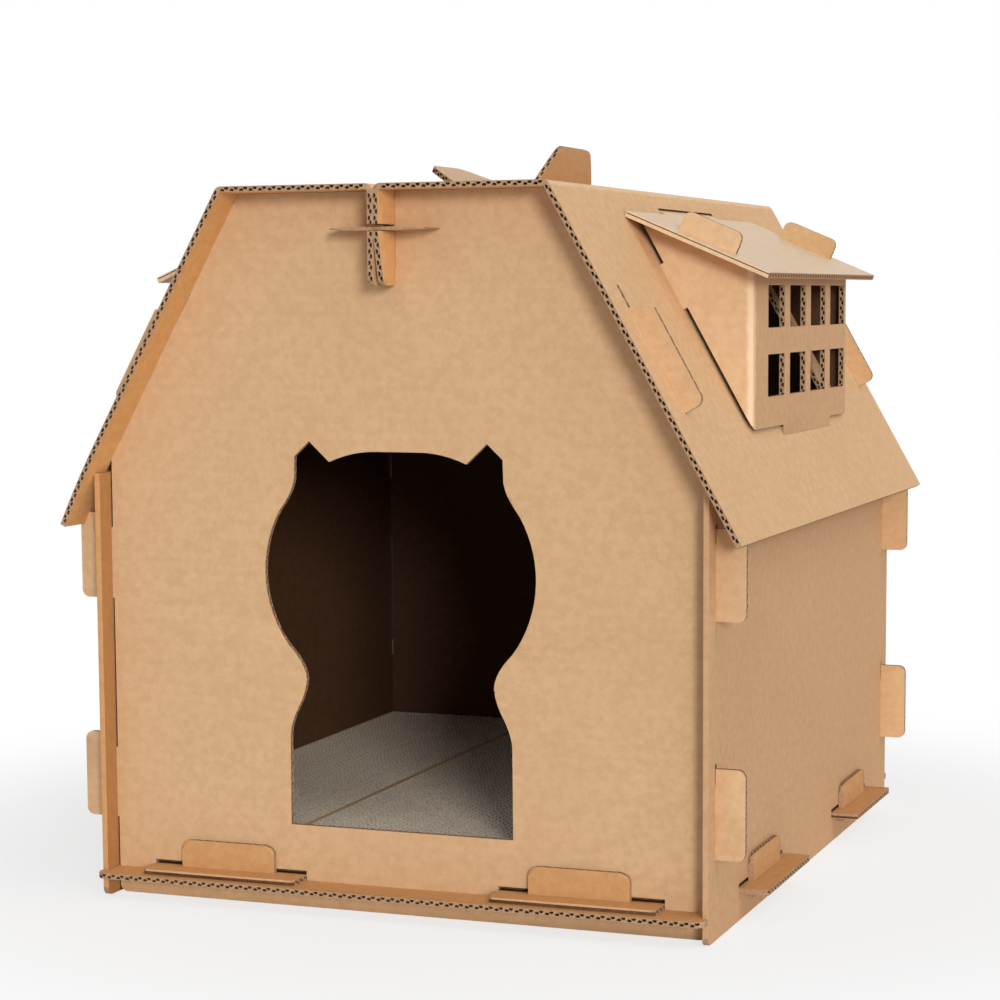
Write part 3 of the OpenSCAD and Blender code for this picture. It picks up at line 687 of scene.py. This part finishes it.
# how a board's look departs from plain kraft: tints of both liners, which on some boards paint light or shade,
# folds, roughness, specular level, and the ceiling of the painted inside shade
FinishAndPaintedLight = namedtuple("FinishAndPaintedLight", "tint inner_tint fold roughness level skin")
PLAIN = (1.0, 1.0, 1.0)
BAY_FOLD = ((0.0, (BAY_HIGH.y + BAY_LOW.y) / 2, 0.0),
            (BAY_HIGH.x - FOLD_INSET, (BAY_HIGH.y - BAY_LOW.y) / 2 - FOLD_INSET, 0.0), (1.0, 1.0, 0.0))
FINISHES_AND_PAINTED_LIGHT = {
    "house": FinishAndPaintedLight(PLAIN, PLAIN, None, 0.74, 0.22, ROOF_SHADE_CEILING),
    "rear": FinishAndPaintedLight(PLAIN, (1.04, 1.24, 1.60), None, 0.74, 0.22, ROOF_SHADE_CEILING),
    # walls: both liners tinted darker, painted shade of the less lit sides
    "wall": FinishAndPaintedLight((0.92, 0.87, 0.85), (0.76, 0.70, 0.64), None, 0.74, 0.22, ROOF_SHADE_CEILING),
    # roof: outer liner tinted paler, painted light on the slopes; inner liner paler, painted light under the
    # eaves
    "roof": FinishAndPaintedLight((1.12, 1.11, 1.09), (1.16, 1.20, 1.16),
                   ((0.0, 0.0, 0.0), (TOP_W / 2, 0.0, ROOF_HIGH.z), (1.0, 0.0, 1.0)), 0.70, 0.25, ROOF_SHADE_CEILING),
    # dormer shell: window face tinted darker, painted shade
    "shell": FinishAndPaintedLight((0.94, 0.89, 0.86), (0.98, 1.18, 1.50), BAY_FOLD, 0.74, 0.22, BAY_SHADE_CEILING),
    # dormer cheeks: a paler copy of the shell's liner, painted light
    "cheek": FinishAndPaintedLight((1.10, 1.18, 1.26), PLAIN, BAY_FOLD, 0.74, 0.22, BAY_SHADE_CEILING),
    # dormer roof: tinted paler and bluer, painted sheen of the bright surroundings at a grazing angle
    "dormer": FinishAndPaintedLight((1.20, 1.36, 1.56), PLAIN, None, 0.48, 0.50, None),
    # flange: inner liner tinted paler, painted light on its side
    "flange": FinishAndPaintedLight(PLAIN, (1.30, 1.42, 1.48), None, 0.70, 0.25, ROOF_SHADE_CEILING),
    "tongue": FinishAndPaintedLight(PLAIN, PLAIN, None, 0.55, 0.40, None),
    "key": FinishAndPaintedLight(PLAIN, (0.97, 1.0, 1.04), None, 0.76, 0.20, None),
}


def board_papers(finish_and_light):
    """The four papers of a board: outer liner, cut edge, hollow, inner liner."""
    _, tones = settings()
    names = ["kraft face " + finish_and_light, "kraft cut edge", "kraft hollow", "kraft inner " + finish_and_light]
    look = FINISHES_AND_PAINTED_LIGHT[finish_and_light]
    if names[0] not in bpy.data.materials:
        face_paper(names[0], look, tinted(tones.kraft, look.tint), None)
        face_paper(names[3], look, tinted(tones.inner, look.inner_tint), look.skin)
    if names[1] not in bpy.data.materials:
        edge_paper(names[1])
    if names[2] not in bpy.data.materials:
        hollow_shade_paper(names[2], tones.hollow)
    return [bpy.data.materials[name] for name in names]


def inside_shade_group():
    """Mask of the painted shade: 1 inside the house, between its walls and gable panels and under a slanting
    ceiling, and 0 outside.
    """
    name = "inside the house"
    if name in bpy.data.node_groups:
        return bpy.data.node_groups[name]
    group, into, out = node_group(
        name, (("Vector", "NodeSocketVector"), ("Side", "NodeSocketFloat"), ("Up", "NodeSocketFloat"),
               ("Limit", "NodeSocketFloat")), (("Inside", "NodeSocketFloat"),))
    near = group.nodes.new("ShaderNodeVectorMath")
    near.operation = "ABSOLUTE"
    group.links.new(into.outputs["Vector"], near.inputs[0])
    split = group.nodes.new("ShaderNodeSeparateXYZ")
    group.links.new(near.outputs[0], split.inputs[0])
    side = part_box("right_wall")[0].x
    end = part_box("back_panel")[0].y
    inside = math_node(group, "MULTIPLY",
                       range_node(group, split.outputs["X"], side + 0.0030, side + 0.0042, 1.0, 0.0),
                       range_node(group, split.outputs["Y"], end + 0.0030, end + 0.0042, 1.0, 0.0))
    reach = math_node(group, "ADD", math_node(group, "MULTIPLY", split.outputs["X"], into.outputs["Side"]),
                      math_node(group, "MULTIPLY", split.outputs["Z"], into.outputs["Up"]))
    past = math_node(group, "SUBTRACT", reach, into.outputs["Limit"])
    inside = math_node(group, "MULTIPLY", inside, range_node(group, past, -0.0030, -0.0018, 1.0, 0.0))
    group.links.new(inside, out.inputs["Inside"])
    return group


def face_paper(name, finish_and_light, base, cover):
    """A liner; under its cover, if it has one, it takes a dark tone inside the house: painted shade."""
    _, tones = settings()
    tree, shader = new_paper(name, finish_and_light.roughness, finish_and_light.level)
    grain = tree.nodes.new("ShaderNodeUVMap")
    grain.uv_map = "grain"
    place = object_place(tree)
    fibre = use_group(tree, paper_fibre_group(), Vector=grain.outputs["UV"])
    clouds = use_group(tree, paper_fibre_group(), Vector=place)
    wash = use_group(tree, washboard_group(), Vector=grain.outputs["UV"])
    deep = tinted(base, (0.93, 0.90, 0.87))
    pale = tinted(base, (1.06, 1.09, 1.13))
    tone = mix_node(tree, clouds["Blotch"], deep, pale)
    tone = mix_node(tree, math_node(tree, "MULTIPLY", fibre["Fibre"], 0.40), tone, pale)
    tone = mix_node(tree, math_node(tree, "MULTIPLY", clouds["Cloud"], 0.25), tone, deep)
    tone = mix_node(tree, math_node(tree, "MULTIPLY", wash["Line"], 0.30), tone, deep)
    # along a fold the liner turns paler: paper whitened at the crease, and a painted highlight on the fold's
    # rounding
    if finish_and_light.fold:
        centre, fold, across = finish_and_light.fold
        rub_and_highlight = use_group(tree, fold_rub_and_highlight_group(), Vector=place, Centre=centre, Fold=fold, Across=across)["Rub"]
        tone = mix_node(tree, math_node(tree, "MULTIPLY", rub_and_highlight, 0.75), tone, tinted(base, (1.20, 1.34, 1.55)))
    # painted shade: inside the house the liner's tone turns dark
    if cover:
        side, up, limit = cover
        inside = use_group(tree, inside_shade_group(), Vector=place, Side=side, Up=up, Limit=limit)["Inside"]
        dark = mix_node(tree, clouds["Blotch"], tinted(tones.inside_shade, (0.9, 0.9, 0.9)),
                        tinted(tones.inside_shade, (1.1, 1.1, 1.1)))
        tone = mix_node(tree, inside, tone, dark)
    tree.links.new(tone, shader.inputs["Base Color"])
    swing = 0.06
    rough = range_node(tree, fibre["Height"], 0.3, 0.7, finish_and_light.roughness - swing, finish_and_light.roughness + swing)
    tree.links.new(rough, shader.inputs["Roughness"])
    height = math_node(tree, "ADD", math_node(tree, "MULTIPLY", wash["Line"], 0.6),
                       math_node(tree, "MULTIPLY", fibre["Height"], 0.4))
    bump(tree, shader, height, 0.16, 0.0004)


def edge_paper(name):
    _, tones = settings()
    tree, shader = new_paper(name, 0.9, 0.2)
    place = object_place(tree)
    rough = noise(tree, place, 700.0, 3.0)
    patch = noise(tree, place, 60.0, 2.0)
    tone = mix_node(tree, range_node(tree, rough, 0.35, 0.70), tinted(tones.cut_edge, (0.84, 0.82, 0.80)),
                    tinted(tones.cut_edge, (1.16, 1.16, 1.16)))
    worn = range_node(tree, patch, 0.40, 0.75, 0.0, 0.5)
    tone = mix_node(tree, worn, tone, tinted(tones.kraft, (0.8, 0.75, 0.7)))
    tree.links.new(tone, shader.inputs["Base Color"])
    bump(tree, shader, rough, 0.5, 0.0004)


# the flutes' dark paper: darker medium paper and painted shade, with random darker patches
def hollow_shade_paper(name, dark):
    tree, shader = new_paper(name, 0.92, 0.1)
    patch = noise(tree, object_place(tree), 220.0, 2.0)
    tone = mix_node(tree, range_node(tree, patch, 0.3, 0.7), dark, tinted(dark, (0.7, 0.66, 0.6)))
    tree.links.new(tone, shader.inputs["Base Color"])


class CONDO_OT_gables(bpy.types.Operator):
    """Front panel with its door, and the panel at the back"""
    bl_idname = "condo.gables"
    bl_label = "Gable panels"

    def execute(self, context):
        for node, side, finish_and_light in (("front_panel", -1, "house"), ("back_panel", 1, "rear")):
            panel = fluted_board(node, [flat_slab(node, X_AXIS, Z_AXIS, side * Y_AXIS)], finish_and_light)
            if side < 0:
                self.ease_door(panel, context.scene.condo_door)
        return {"FINISHED"}

    def ease_door(self, panel, door):
        """Rounds the corners where the door's neck, cheeks and ears meet."""
        neck = door.neck_w / 2
        cheek_x = door.head_w / 2 - door.cheek_r
        neck_top = door.head_z - math.sqrt(door.cheek_r ** 2 - (neck - cheek_x) ** 2)
        ear_foot = door.head_z + math.sqrt(door.cheek_r ** 2 - (door.ear_x - cheek_x) ** 2)
        spans = ((door.shoulder_z - door.ease, neck_top + door.ease),
                 (ear_foot - door.ease, ear_foot + door.ease))
        spacing = 0.004
        samples = 6

        def side_of(height):
            if height < neck_top:
                return door.width / 2 + (neck - door.width / 2) * ramp(height, door.shoulder_z, door.neck_z)
            if height > ear_foot:
                return door.ear_x
            return cheek_x + math.sqrt(door.cheek_r ** 2 - (height - door.head_z) ** 2)

        def move(at):
            close = any(low < at.z < high for low, high in spans)
            if not close or abs(abs(at.x) - side_of(at.z)) > ON_FACE:
                return Vector()
            around = [side_of(at.z + door.ease * step / samples) for step in range(-samples, samples + 1)]
            level = sum(around) / len(around)
            return X_AXIS * math.copysign(1, at.x) * (level - side_of(at.z))

        cuts = []
        for low, high in spans:
            steps = int((high - low) / spacing)
            cuts += [(Vector((0, 0, low + (high - low) * step / steps)), Z_AXIS) for step in range(1, steps)]
        bend(panel, cuts, move)


class CONDO_OT_walls(bpy.types.Operator):
    """Side walls, their flutes upright"""
    bl_idname = "condo.walls"
    bl_label = "Side walls"

    def execute(self, context):
        board, _ = settings()
        for node, side, rim in (("left_wall", -1, CHEEK), ("right_wall", 1, FACE)):
            # the walls take the darker wall liners: painted shade
            wall = fluted_board(node, [flat_slab(node, Z_AXIS, Y_AXIS, side * X_AXIS)], "wall",
                                pinch=(board.pinch_outer, board.pinch_inner), rim=rim)
            wall.data.materials.append(board_papers("house")[3])
        return {"FINISHED"}


class CONDO_OT_floor(bpy.types.Operator):
    """Floor board with its tabs, and the ledges under them"""
    bl_idname = "condo.floor"
    bl_label = "Floor and ledges"

    def execute(self, context):
        board, _ = settings()
        fluted_board("floor_panel", [flat_slab("floor_panel", X_AXIS, Y_AXIS, -Z_AXIS)], "house",
                     rim=FACE, groove=(board.board_t, board.lip_high - board.board_t / 2))
        for node in ("front_ledge", "rear_ledge"):
            fluted_board(node, [flat_slab(node, Y_AXIS, X_AXIS, -Z_AXIS)], "house")
        return {"FINISHED"}


class CONDO_OT_keys(bpy.types.Operator):
    """Keys that lock the floor's tabs and the roof's flange"""
    bl_idname = "condo.keys"
    bl_label = "Keys"

    def execute(self, context):
        board, _ = settings()
        for node, along, stack, inward in (
                ("front_key_left", Z_AXIS, X_AXIS, Y_AXIS), ("front_key_right", Z_AXIS, X_AXIS, Y_AXIS),
                ("rear_key_left", Z_AXIS, X_AXIS, -Y_AXIS), ("rear_key_right", Z_AXIS, X_AXIS, -Y_AXIS),
                ("left_key_front", Z_AXIS, Y_AXIS, X_AXIS), ("left_key_rear", Z_AXIS, Y_AXIS, X_AXIS),
                ("right_key_front", Z_AXIS, Y_AXIS, -X_AXIS), ("right_key_rear", Z_AXIS, Y_AXIS, -X_AXIS)):
            fluted_board(node, [flat_slab(node, along, stack, inward)], "key")
        for node in ("ridge_key_front", "ridge_key_rear"):
            key = fluted_board(node, [flat_slab(node, X_AXIS, Y_AXIS, Z_AXIS)], "key",
                               pinch=(board.pinch_key, board.pinch_key))
            self.crush(key, board, *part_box(node))
        return {"FINISHED"}

    def crush(self, key, board, low, high):
        """Flattens a ridge key onto its lower side, most of all at its ends."""
        mid = (low + high) / 2
        half = (high.x - low.x) / 2
        sunk = low.z + (mid.z - low.z) * board.key_crush

        def move(at):
            thin = board.key_crush * (1 - board.key_taper * ((at.x - mid.x) / half) ** 2)
            return Z_AXIS * (sunk + (at.z - mid.z) * thin - at.z)

        bend(key, [(mid + X_AXIS * half * step / 6, X_AXIS) for step in (-5, -4, -3, -2, 2, 3, 4, 5)], move)


class CONDO_OT_roof(bpy.types.Operator):
    """Roof halves, each folded from one board with its flutes from front to back"""
    bl_idname = "condo.roof"
    bl_label = "Roof halves"

    def execute(self, context):
        board, _ = settings()
        for node, side in (("roof_left", -1), ("roof_right", 1)):
            low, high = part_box(node)
            reach = (high.y - low.y) / 2 + board.overrun
            half = board.board_t / 2
            fall = math.atan2(board.top_z - board.eave_z, (board.roof_w - board.top_w) / 2)
            down = Vector((side * math.cos(fall), 0, -math.sin(fall)))
            out = Vector((side * math.sin(fall), 0, math.cos(fall)))
            knee = Vector((side * board.top_w / 2, 0, board.top_z))
            slope_l = math.hypot(board.top_z - board.eave_z, (board.roof_w - board.top_w) / 2)
            seam = Vector((board.seam_x, 0, board.top_z))
            top_w = board.top_w / 2 - side * board.seam_x
            slabs = [
                Slab(seam + side * X_AXIS * half, Y_AXIS, -Z_AXIS, (-reach, reach),
                     (board.board_t + board.crushed, board.flange_h - board.margin), -side * X_AXIS),
                Slab(seam - Z_AXIS * half, Y_AXIS, side * X_AXIS, (-reach, reach),
                     (board.board_t + board.crushed, top_w - board.crushed), Z_AXIS),
                Slab(knee - out * half, Y_AXIS, down, (-reach, reach),
                     (board.crushed, slope_l - board.margin), out),
            ]
            inset = 0.001
            folds = [(seam + side * X_AXIS * inset - Z_AXIS * inset, Y_AXIS), (knee - out * inset, Y_AXIS)]
            roof = fluted_board(node, slabs, "roof", folds)
            # the flange's side faces take the paler flange liner: painted light
            roof.data.materials.append(board_papers("flange")[3])
            for paper in roof.data.polygons:
                if paper.material_index == INNER and abs(paper.normal.x) > 0.9:
                    paper.material_index = CHEEK
            if side > 0:
                self.splay(roof, board, low)
            else:
                self.curl(roof, board, low, knee, down, slope_l)
        return {"FINISHED"}

    def splay(self, roof, board, low):
        """The right flange's lower front corner stands off its neighbour."""
        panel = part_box("front_panel")[0].y
        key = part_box("ridge_key_front")[0].z - 0.001
        foot = board.top_z - board.flange_h
        cuts = [(Vector((0, panel, 0)), Y_AXIS), (Vector((0, (panel + low.y) / 2, 0)), Y_AXIS),
                (Vector((0, 0, key)), Z_AXIS), (Vector((0, 0, (key + foot) / 2)), Z_AXIS)]

        def move(at):
            if at.x > board.seam_x + 2 * board.board_t or at.z > key:
                return Vector()
            return X_AXIS * board.ply_splay * ramp(-at.y, -panel, -low.y) * ramp(-at.z, -key, -foot)

        bend(roof, cuts, move)

    def curl(self, roof, board, low, knee, down, slope_l):
        """The left eave rolls in a little towards the front."""
        rolled = 0.075
        bands = 5
        ahead = -0.15
        lift = 0.35
        start = slope_l - rolled
        cuts = [(knee + down * (start + rolled * step / bands), down) for step in range(bands)]

        def move(at):
            if at.x > -board.top_w / 2:
                return Vector()
            roll = ramp((at - knee).dot(down), start, slope_l) ** 2 * ramp(-at.y, ahead, -low.y)
            return (X_AXIS + lift * Z_AXIS) * board.eave_curl * roll

        bend(roof, cuts, move)


class CONDO_OT_tongues(bpy.types.Operator):
    """Tongues that stand up at the roof's seam"""
    bl_idname = "condo.tongues"
    bl_label = "Seam tongues"

    def execute(self, context):
        board, _ = settings()
        for node, side, lean in (("tongue_right", 1, board.right_lean), ("tongue_left", -1, board.left_lean)):
            low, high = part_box(node)
            reach = (high.y - low.y) / 2 + board.overrun
            crease = Vector((board.seam_x, (low.y + high.y) / 2, board.crease_z))
            up = Vector((side * math.cos(lean), 0, math.sin(lean)))
            outer = Vector((-side * math.sin(lean), 0, math.cos(lean)))
            slabs = [Slab(crease, Y_AXIS, up, (-reach, reach),
                          (board.crushed / 2, board.tongue_l - board.margin), outer)]
            tongue = fluted_board(node, slabs, "tongue", [(crease, Y_AXIS)])
            self.wear(tongue, board, crease, up, board.tongue_worn if side < 0 else 0.0)
        return {"FINISHED"}

    def wear(self, tongue, board, crease, up, worn):
        """Rounds the tongue's shoulders towards its tip."""
        start = 0.3 * board.tongue_l
        worn_by = 0.45 * board.tongue_l
        bands = 8
        cuts = [(crease + up * (start + (board.tongue_l - start) * step / bands), up) for step in range(bands)]

        def move(at):
            reach = (at - crease).dot(up)
            loss = board.tongue_round * ramp(reach, start, board.tongue_l) ** 2
            if at.y < crease.y:
                return Y_AXIS * loss
            return -Y_AXIS * (loss + worn * ramp(reach, 0.0, worn_by))

        bend(tongue, cuts, move)


class CONDO_OT_dormers(bpy.types.Operator):
    """Dormers: a shell folded round the windows, and a flat roof"""
    bl_idname = "condo.dormers"
    bl_label = "Dormers"

    def execute(self, context):
        board, _ = settings()
        half = board.board_t / 2
        for name, side in (("left", -1), ("right", 1)):
            shell = "dormer_" + name + "_shell"
            low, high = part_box(shell)
            mid_z = (low.z + high.z) / 2
            rise = (high.z - low.z) / 2 + board.pitch
            inner = board.dormer_w / 2 - board.board_t - board.crushed
            face = Vector((side * (board.dormer_x - half), board.dormer_back, mid_z))
            slabs = [Slab(face, Y_AXIS, Z_AXIS, (-inner, inner), (-rise, rise), side * X_AXIS)]
            folds = []
            for turn in (-1, 1):
                cheek = Vector((0, board.dormer_back + turn * (board.dormer_w / 2 - half), mid_z))
                slabs.append(Slab(cheek, side * X_AXIS, Z_AXIS,
                                  (0.1, board.dormer_x - board.board_t - board.crushed), (-rise, rise),
                                  turn * Y_AXIS))
                corner = Vector((side * (board.dormer_x - FOLD_INSET),
                                 board.dormer_back + turn * (board.dormer_w / 2 - FOLD_INSET), mid_z))
                folds.append((corner, Z_AXIS))
            piece = fluted_board(shell, slabs, "shell", folds)
            # the cheeks take the paler cheek liner: painted light
            piece.data.materials.append(board_papers("cheek")[0])
            for paper in piece.data.polygons:
                if paper.material_index == FACE and abs(paper.normal.y) > 0.6:
                    paper.material_index = CHEEK
            roof = "dormer_" + name + "_roof"
            low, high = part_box(roof)
            down = Vector((side * math.cos(board.dormer_pitch), 0, -math.sin(board.dormer_pitch)))
            out = Vector((side * math.sin(board.dormer_pitch), 0, math.cos(board.dormer_pitch)))
            top = Vector((side * board.dormer_top_x, board.dormer_back, board.dormer_top_z))
            across = (high.y - low.y) / 2 - board.margin
            fluted_board(roof, [Slab(top + out * half, down, Y_AXIS, (-0.05, 0.2), (-across, across), out)],
                         "dormer", rim=FACE,
                         groove=(board.rake_groove - board.liner_t, board.rake_groove))
        return {"FINISHED"}


def pad_papers():
    _, tones = settings()
    names = ["pad cut paper", "pad kraft strip", "pad hollow"]
    if names[0] not in bpy.data.materials:
        tree, shader = new_paper(names[0], 0.92, 0.15)
        place = object_place(tree)
        fray = noise(tree, place, 900.0, 3.0)
        row = noise(tree, stretched(tree, place, (200.0, 9.0, 9.0)), 1.0, 2.0)
        patch = noise(tree, place, 26.0, 3.0)
        # the pad's cut paper is brightened past its own tone: painted light
        tone = mix_node(tree, range_node(tree, fray, 0.35, 0.7), tinted(tones.pad, (0.84, 0.82, 0.80)),
                        tinted(tones.pad, (1.16, 1.16, 1.16)))
        for amount, tint in ((range_node(tree, row, 0.42, 0.75, 0.0, 0.35), (0.78, 0.70, 0.60)),
                             (range_node(tree, patch, 0.4, 0.75, 0.0, 0.3), (0.7, 0.66, 0.6))):
            tone = mix_node(tree, amount, tone, tinted(tones.pad, tint))
        tree.links.new(tone, shader.inputs["Base Color"])
        bump(tree, shader, fray, 0.6, 0.0006)
    if names[1] not in bpy.data.materials:
        tree, shader = new_paper(names[1], 0.85, 0.2)
        fibre = use_group(tree, paper_fibre_group(), Vector=object_place(tree))
        tone = mix_node(tree, fibre["Fibre"], tinted(tones.pad_strip, (0.85, 0.85, 0.85)),
                        tinted(tones.pad_strip, (1.15, 1.15, 1.15)))
        tree.links.new(tone, shader.inputs["Base Color"])
        bump(tree, shader, fibre["Height"], 0.4, 0.0004)
    if names[2] not in bpy.data.materials:
        hollow_shade_paper(names[2], tones.pad_hollow)
    return [bpy.data.materials[name] for name in names]


class CONDO_OT_pads(bpy.types.Operator):
    """Scratch pads: strips of board on edge, open at the top"""
    bl_idname = "condo.pads"
    bl_label = "Scratch pads"

    def execute(self, context):
        pads = context.scene.condo_pads
        shuffle = random.Random(7)
        row = self.row_of_hollows()
        for node in ("pad_left", "pad_middle", "pad_right"):
            low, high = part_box(node)
            bm = bmesh.new()
            bmesh.ops.create_cube(bm, size=1.0)
            bmesh.ops.scale(bm, verts=bm.verts, vec=high - low)
            bmesh.ops.translate(bm, verts=bm.verts, vec=(low + high) / 2)
            for place in (low.x + pads.side_band, high.x - pads.side_band):
                split(bm, Vector((place, 0, 0)), X_AXIS)
            piece = new_piece(node + "_strips", bm)
            for paper in pad_papers() + board_papers("house")[2:3]:
                piece.data.materials.append(paper)
            self.open_strips(piece, node, row, shuffle)
            for face in piece.data.polygons:
                # the pads' ends take the boards' hollow paper: painted shade
                if abs(face.normal.y) > 0.9 and min(face.center.y - low.y, high.y - face.center.y) < AT_EDGE:
                    face.material_index = PAD_END
                elif face.material_index != HOLLOW:
                    beside = min(face.center.x - low.x, high.x - face.center.x)
                    face.material_index = PAD_STRIP if beside < 0.7 * pads.side_band else PAD_TOP
            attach(piece, body_of_node(node))
            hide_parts(node)
        bpy.data.meshes.remove(row)
        return {"FINISHED"}

    def row_of_hollows(self):
        """Mesh of the hollows of one strip, with its top at the origin."""
        board, _ = settings()
        pads = bpy.context.scene.condo_pads
        low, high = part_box("pad_middle")
        half = (high.y - low.y) / 2 + board.pitch
        bm = bmesh.new()
        cut_hollows(bm, board, Slab(Vector(), Z_AXIS, Y_AXIS, (-pads.depth, 0.001), (-half, half), X_AXIS),
                    pads.open_share, 5)
        bmesh.ops.recalc_face_normals(bm, faces=bm.faces)
        for face in bm.faces:
            face.material_index = HOLLOW
        row = bpy.data.meshes.new("row_of_hollows")
        bm.to_mesh(row)
        bm.free()
        return row

    def open_strips(self, piece, node, row, shuffle):
        board, _ = settings()
        pads = bpy.context.scene.condo_pads
        low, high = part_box(node)
        room = high.x - low.x - 2 * pads.side_band
        count = int(round(room / pads.strip_t))
        step = room / count
        cores = bmesh.new()
        for strip in range(count):
            known = len(cores.verts)
            cores.from_mesh(row)
            cores.verts.ensure_lookup_table()
            place = Vector((low.x + pads.side_band + step * (strip + 0.5),
                            (low.y + high.y) / 2 + shuffle.uniform(-0.5, 0.5) * board.pitch, high.z))
            bmesh.ops.translate(cores, verts=cores.verts[known:], vec=place)
        tool = new_piece(node + "_hollows", cores)
        for paper in pad_papers():
            tool.data.materials.append(paper)
        take_away(piece, tool)


def floor_paper(stage):
    """Pale floor that fades to plain white away from the house and keeps its shadow."""
    name = "pale floor"
    tree, shader = new_paper(name, 0.9, 0.1)
    shader.inputs["Base Color"].default_value = (*stage.floor, 1.0)
    far = tree.nodes.new("ShaderNodeVectorMath")
    far.operation = "LENGTH"
    tree.links.new(object_place(tree), far.inputs[0])
    plain = range_node(tree, far.outputs["Value"], 0.36, 0.80, 0.72, 1.0)
    fade = math_node(tree, "MULTIPLY", seen_rays(tree), plain)
    white = tree.nodes.new("ShaderNodeEmission")
    white.inputs["Color"].default_value = (1.0, 1.0, 1.0, 1.0)
    blend = tree.nodes.new("ShaderNodeMixShader")
    tree.links.new(fade, blend.inputs["Fac"])
    tree.links.new(shader.outputs["BSDF"], blend.inputs[1])
    tree.links.new(white.outputs["Emission"], blend.inputs[2])
    tree.links.new(blend.outputs["Shader"], tree.nodes["Material Output"].inputs["Surface"])
    return bpy.data.materials[name]


class CONDO_OT_stage(bpy.types.Operator):
    """Camera, pale floor and soft light"""
    bl_idname = "condo.stage"
    bl_label = "Stage"

    def execute(self, context):
        stage = context.scene.condo_stage
        scene = context.scene
        back = Vector((math.sin(stage.azimuth) * math.cos(stage.elevation),
                       -math.cos(stage.azimuth) * math.cos(stage.elevation), math.sin(stage.elevation)))
        right = (-back).cross(Z_AXIS).normalized()
        up = right.cross(-back)
        turned = right * math.cos(stage.roll) + up * math.sin(stage.roll)
        upright = up * math.cos(stage.roll) - right * math.sin(stage.roll)
        camera = bpy.data.cameras.new("camera")
        camera.sensor_width = 36.0
        camera.lens = stage.lens
        camera.shift_x = stage.shift_x
        camera.shift_y = stage.shift_y
        camera.clip_start = 0.05
        camera.clip_end = 200.0
        holder = bpy.data.objects.new("camera", camera)
        turn = Matrix((turned, upright, back)).transposed().to_4x4()
        holder.matrix_world = Matrix.Translation(Vector(stage.aim) + back * stage.distance) @ turn
        scene.collection.objects.link(holder)
        scene.camera = holder

        bm = bmesh.new()
        bmesh.ops.create_grid(bm, x_segments=1, y_segments=1, size=40.0)
        bmesh.ops.translate(bm, verts=bm.verts, vec=(0, 0, -0.0004))
        floor = new_piece("floor_plane", bm)
        floor.data.materials.append(floor_paper(stage))

        world = bpy.data.worlds.new("studio")
        scene.world = world
        world.use_nodes = True
        tree = world.node_tree
        sky = tree.nodes["Background"]
        sky.inputs["Color"].default_value = (1.0, 1.0, 1.0, 1.0)
        level = tree.nodes.new("ShaderNodeMix")
        tree.links.new(seen_rays(tree), level.inputs["Factor"])
        level.inputs["A"].default_value = stage.ambient
        level.inputs["B"].default_value = 1.0
        tree.links.new(level.outputs["Result"], sky.inputs["Strength"])

        for name, energy, azimuth, height, spread in (
                ("key", stage.key, stage.key_azimuth, stage.key_height, stage.key_spread),
                ("side", stage.side, stage.side_azimuth, stage.side_height, stage.side_spread),
                ("fill", stage.fill, stage.fill_azimuth, stage.fill_height, stage.fill_spread)):
            lamp = bpy.data.lights.new(name, "SUN")
            lamp.energy = energy
            lamp.angle = spread
            holder = bpy.data.objects.new(name, lamp)
            toward = Vector((math.sin(azimuth) * math.cos(height), -math.cos(azimuth) * math.cos(height),
                             math.sin(height)))
            holder.matrix_world = toward.to_track_quat("Z", "Y").to_matrix().to_4x4()
            scene.collection.objects.link(holder)
        scene.view_settings.view_transform = "Standard"
        return {"FINISHED"}


class CONDO_PT_panel(bpy.types.Panel):
    """Pieces of the cat condo"""
    bl_idname = "CONDO_PT_panel"
    bl_label = "Cat condo"
    bl_space_type = "VIEW_3D"
    bl_region_type = "UI"
    bl_category = "Cat condo"

    def draw(self, context):
        for operator in OPERATORS:
            self.layout.operator(operator.bl_idname)
        for title, _ in GROUPS:
            box = self.layout.box()
            values = getattr(context.scene, title)
            for value in values.__annotations__:
                box.prop(values, value)


OPERATORS = (CONDO_OT_stage, CONDO_OT_gables, CONDO_OT_walls, CONDO_OT_floor, CONDO_OT_keys, CONDO_OT_roof,
             CONDO_OT_tongues, CONDO_OT_dormers, CONDO_OT_pads)
GROUPS = (("condo_boards", CondoBoards), ("condo_door", CondoDoor), ("condo_pads", CondoPads),
          ("condo_finish", CondoFinish), ("condo_stage", CondoStage))


def register():
    for title, group in GROUPS:
        bpy.utils.register_class(group)
        setattr(bpy.types.Scene, title, PointerProperty(type=group))
    for operator in OPERATORS:
        bpy.utils.register_class(operator)
    bpy.utils.register_class(CONDO_PT_panel)


def unregister():
    bpy.utils.unregister_class(CONDO_PT_panel)
    for operator in reversed(OPERATORS):
        bpy.utils.unregister_class(operator)
    for title, group in reversed(GROUPS):
        delattr(bpy.types.Scene, title)
        bpy.utils.unregister_class(group)


def main():
    register()
    bpy.ops.condo.stage()
    bpy.ops.condo.gables()
    bpy.ops.condo.walls()
    bpy.ops.condo.floor()
    bpy.ops.condo.keys()
    bpy.ops.condo.roof()
    bpy.ops.condo.tongues()
    bpy.ops.condo.dormers()
    bpy.ops.condo.pads()
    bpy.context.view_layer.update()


if __name__ == "__main__":
    main()
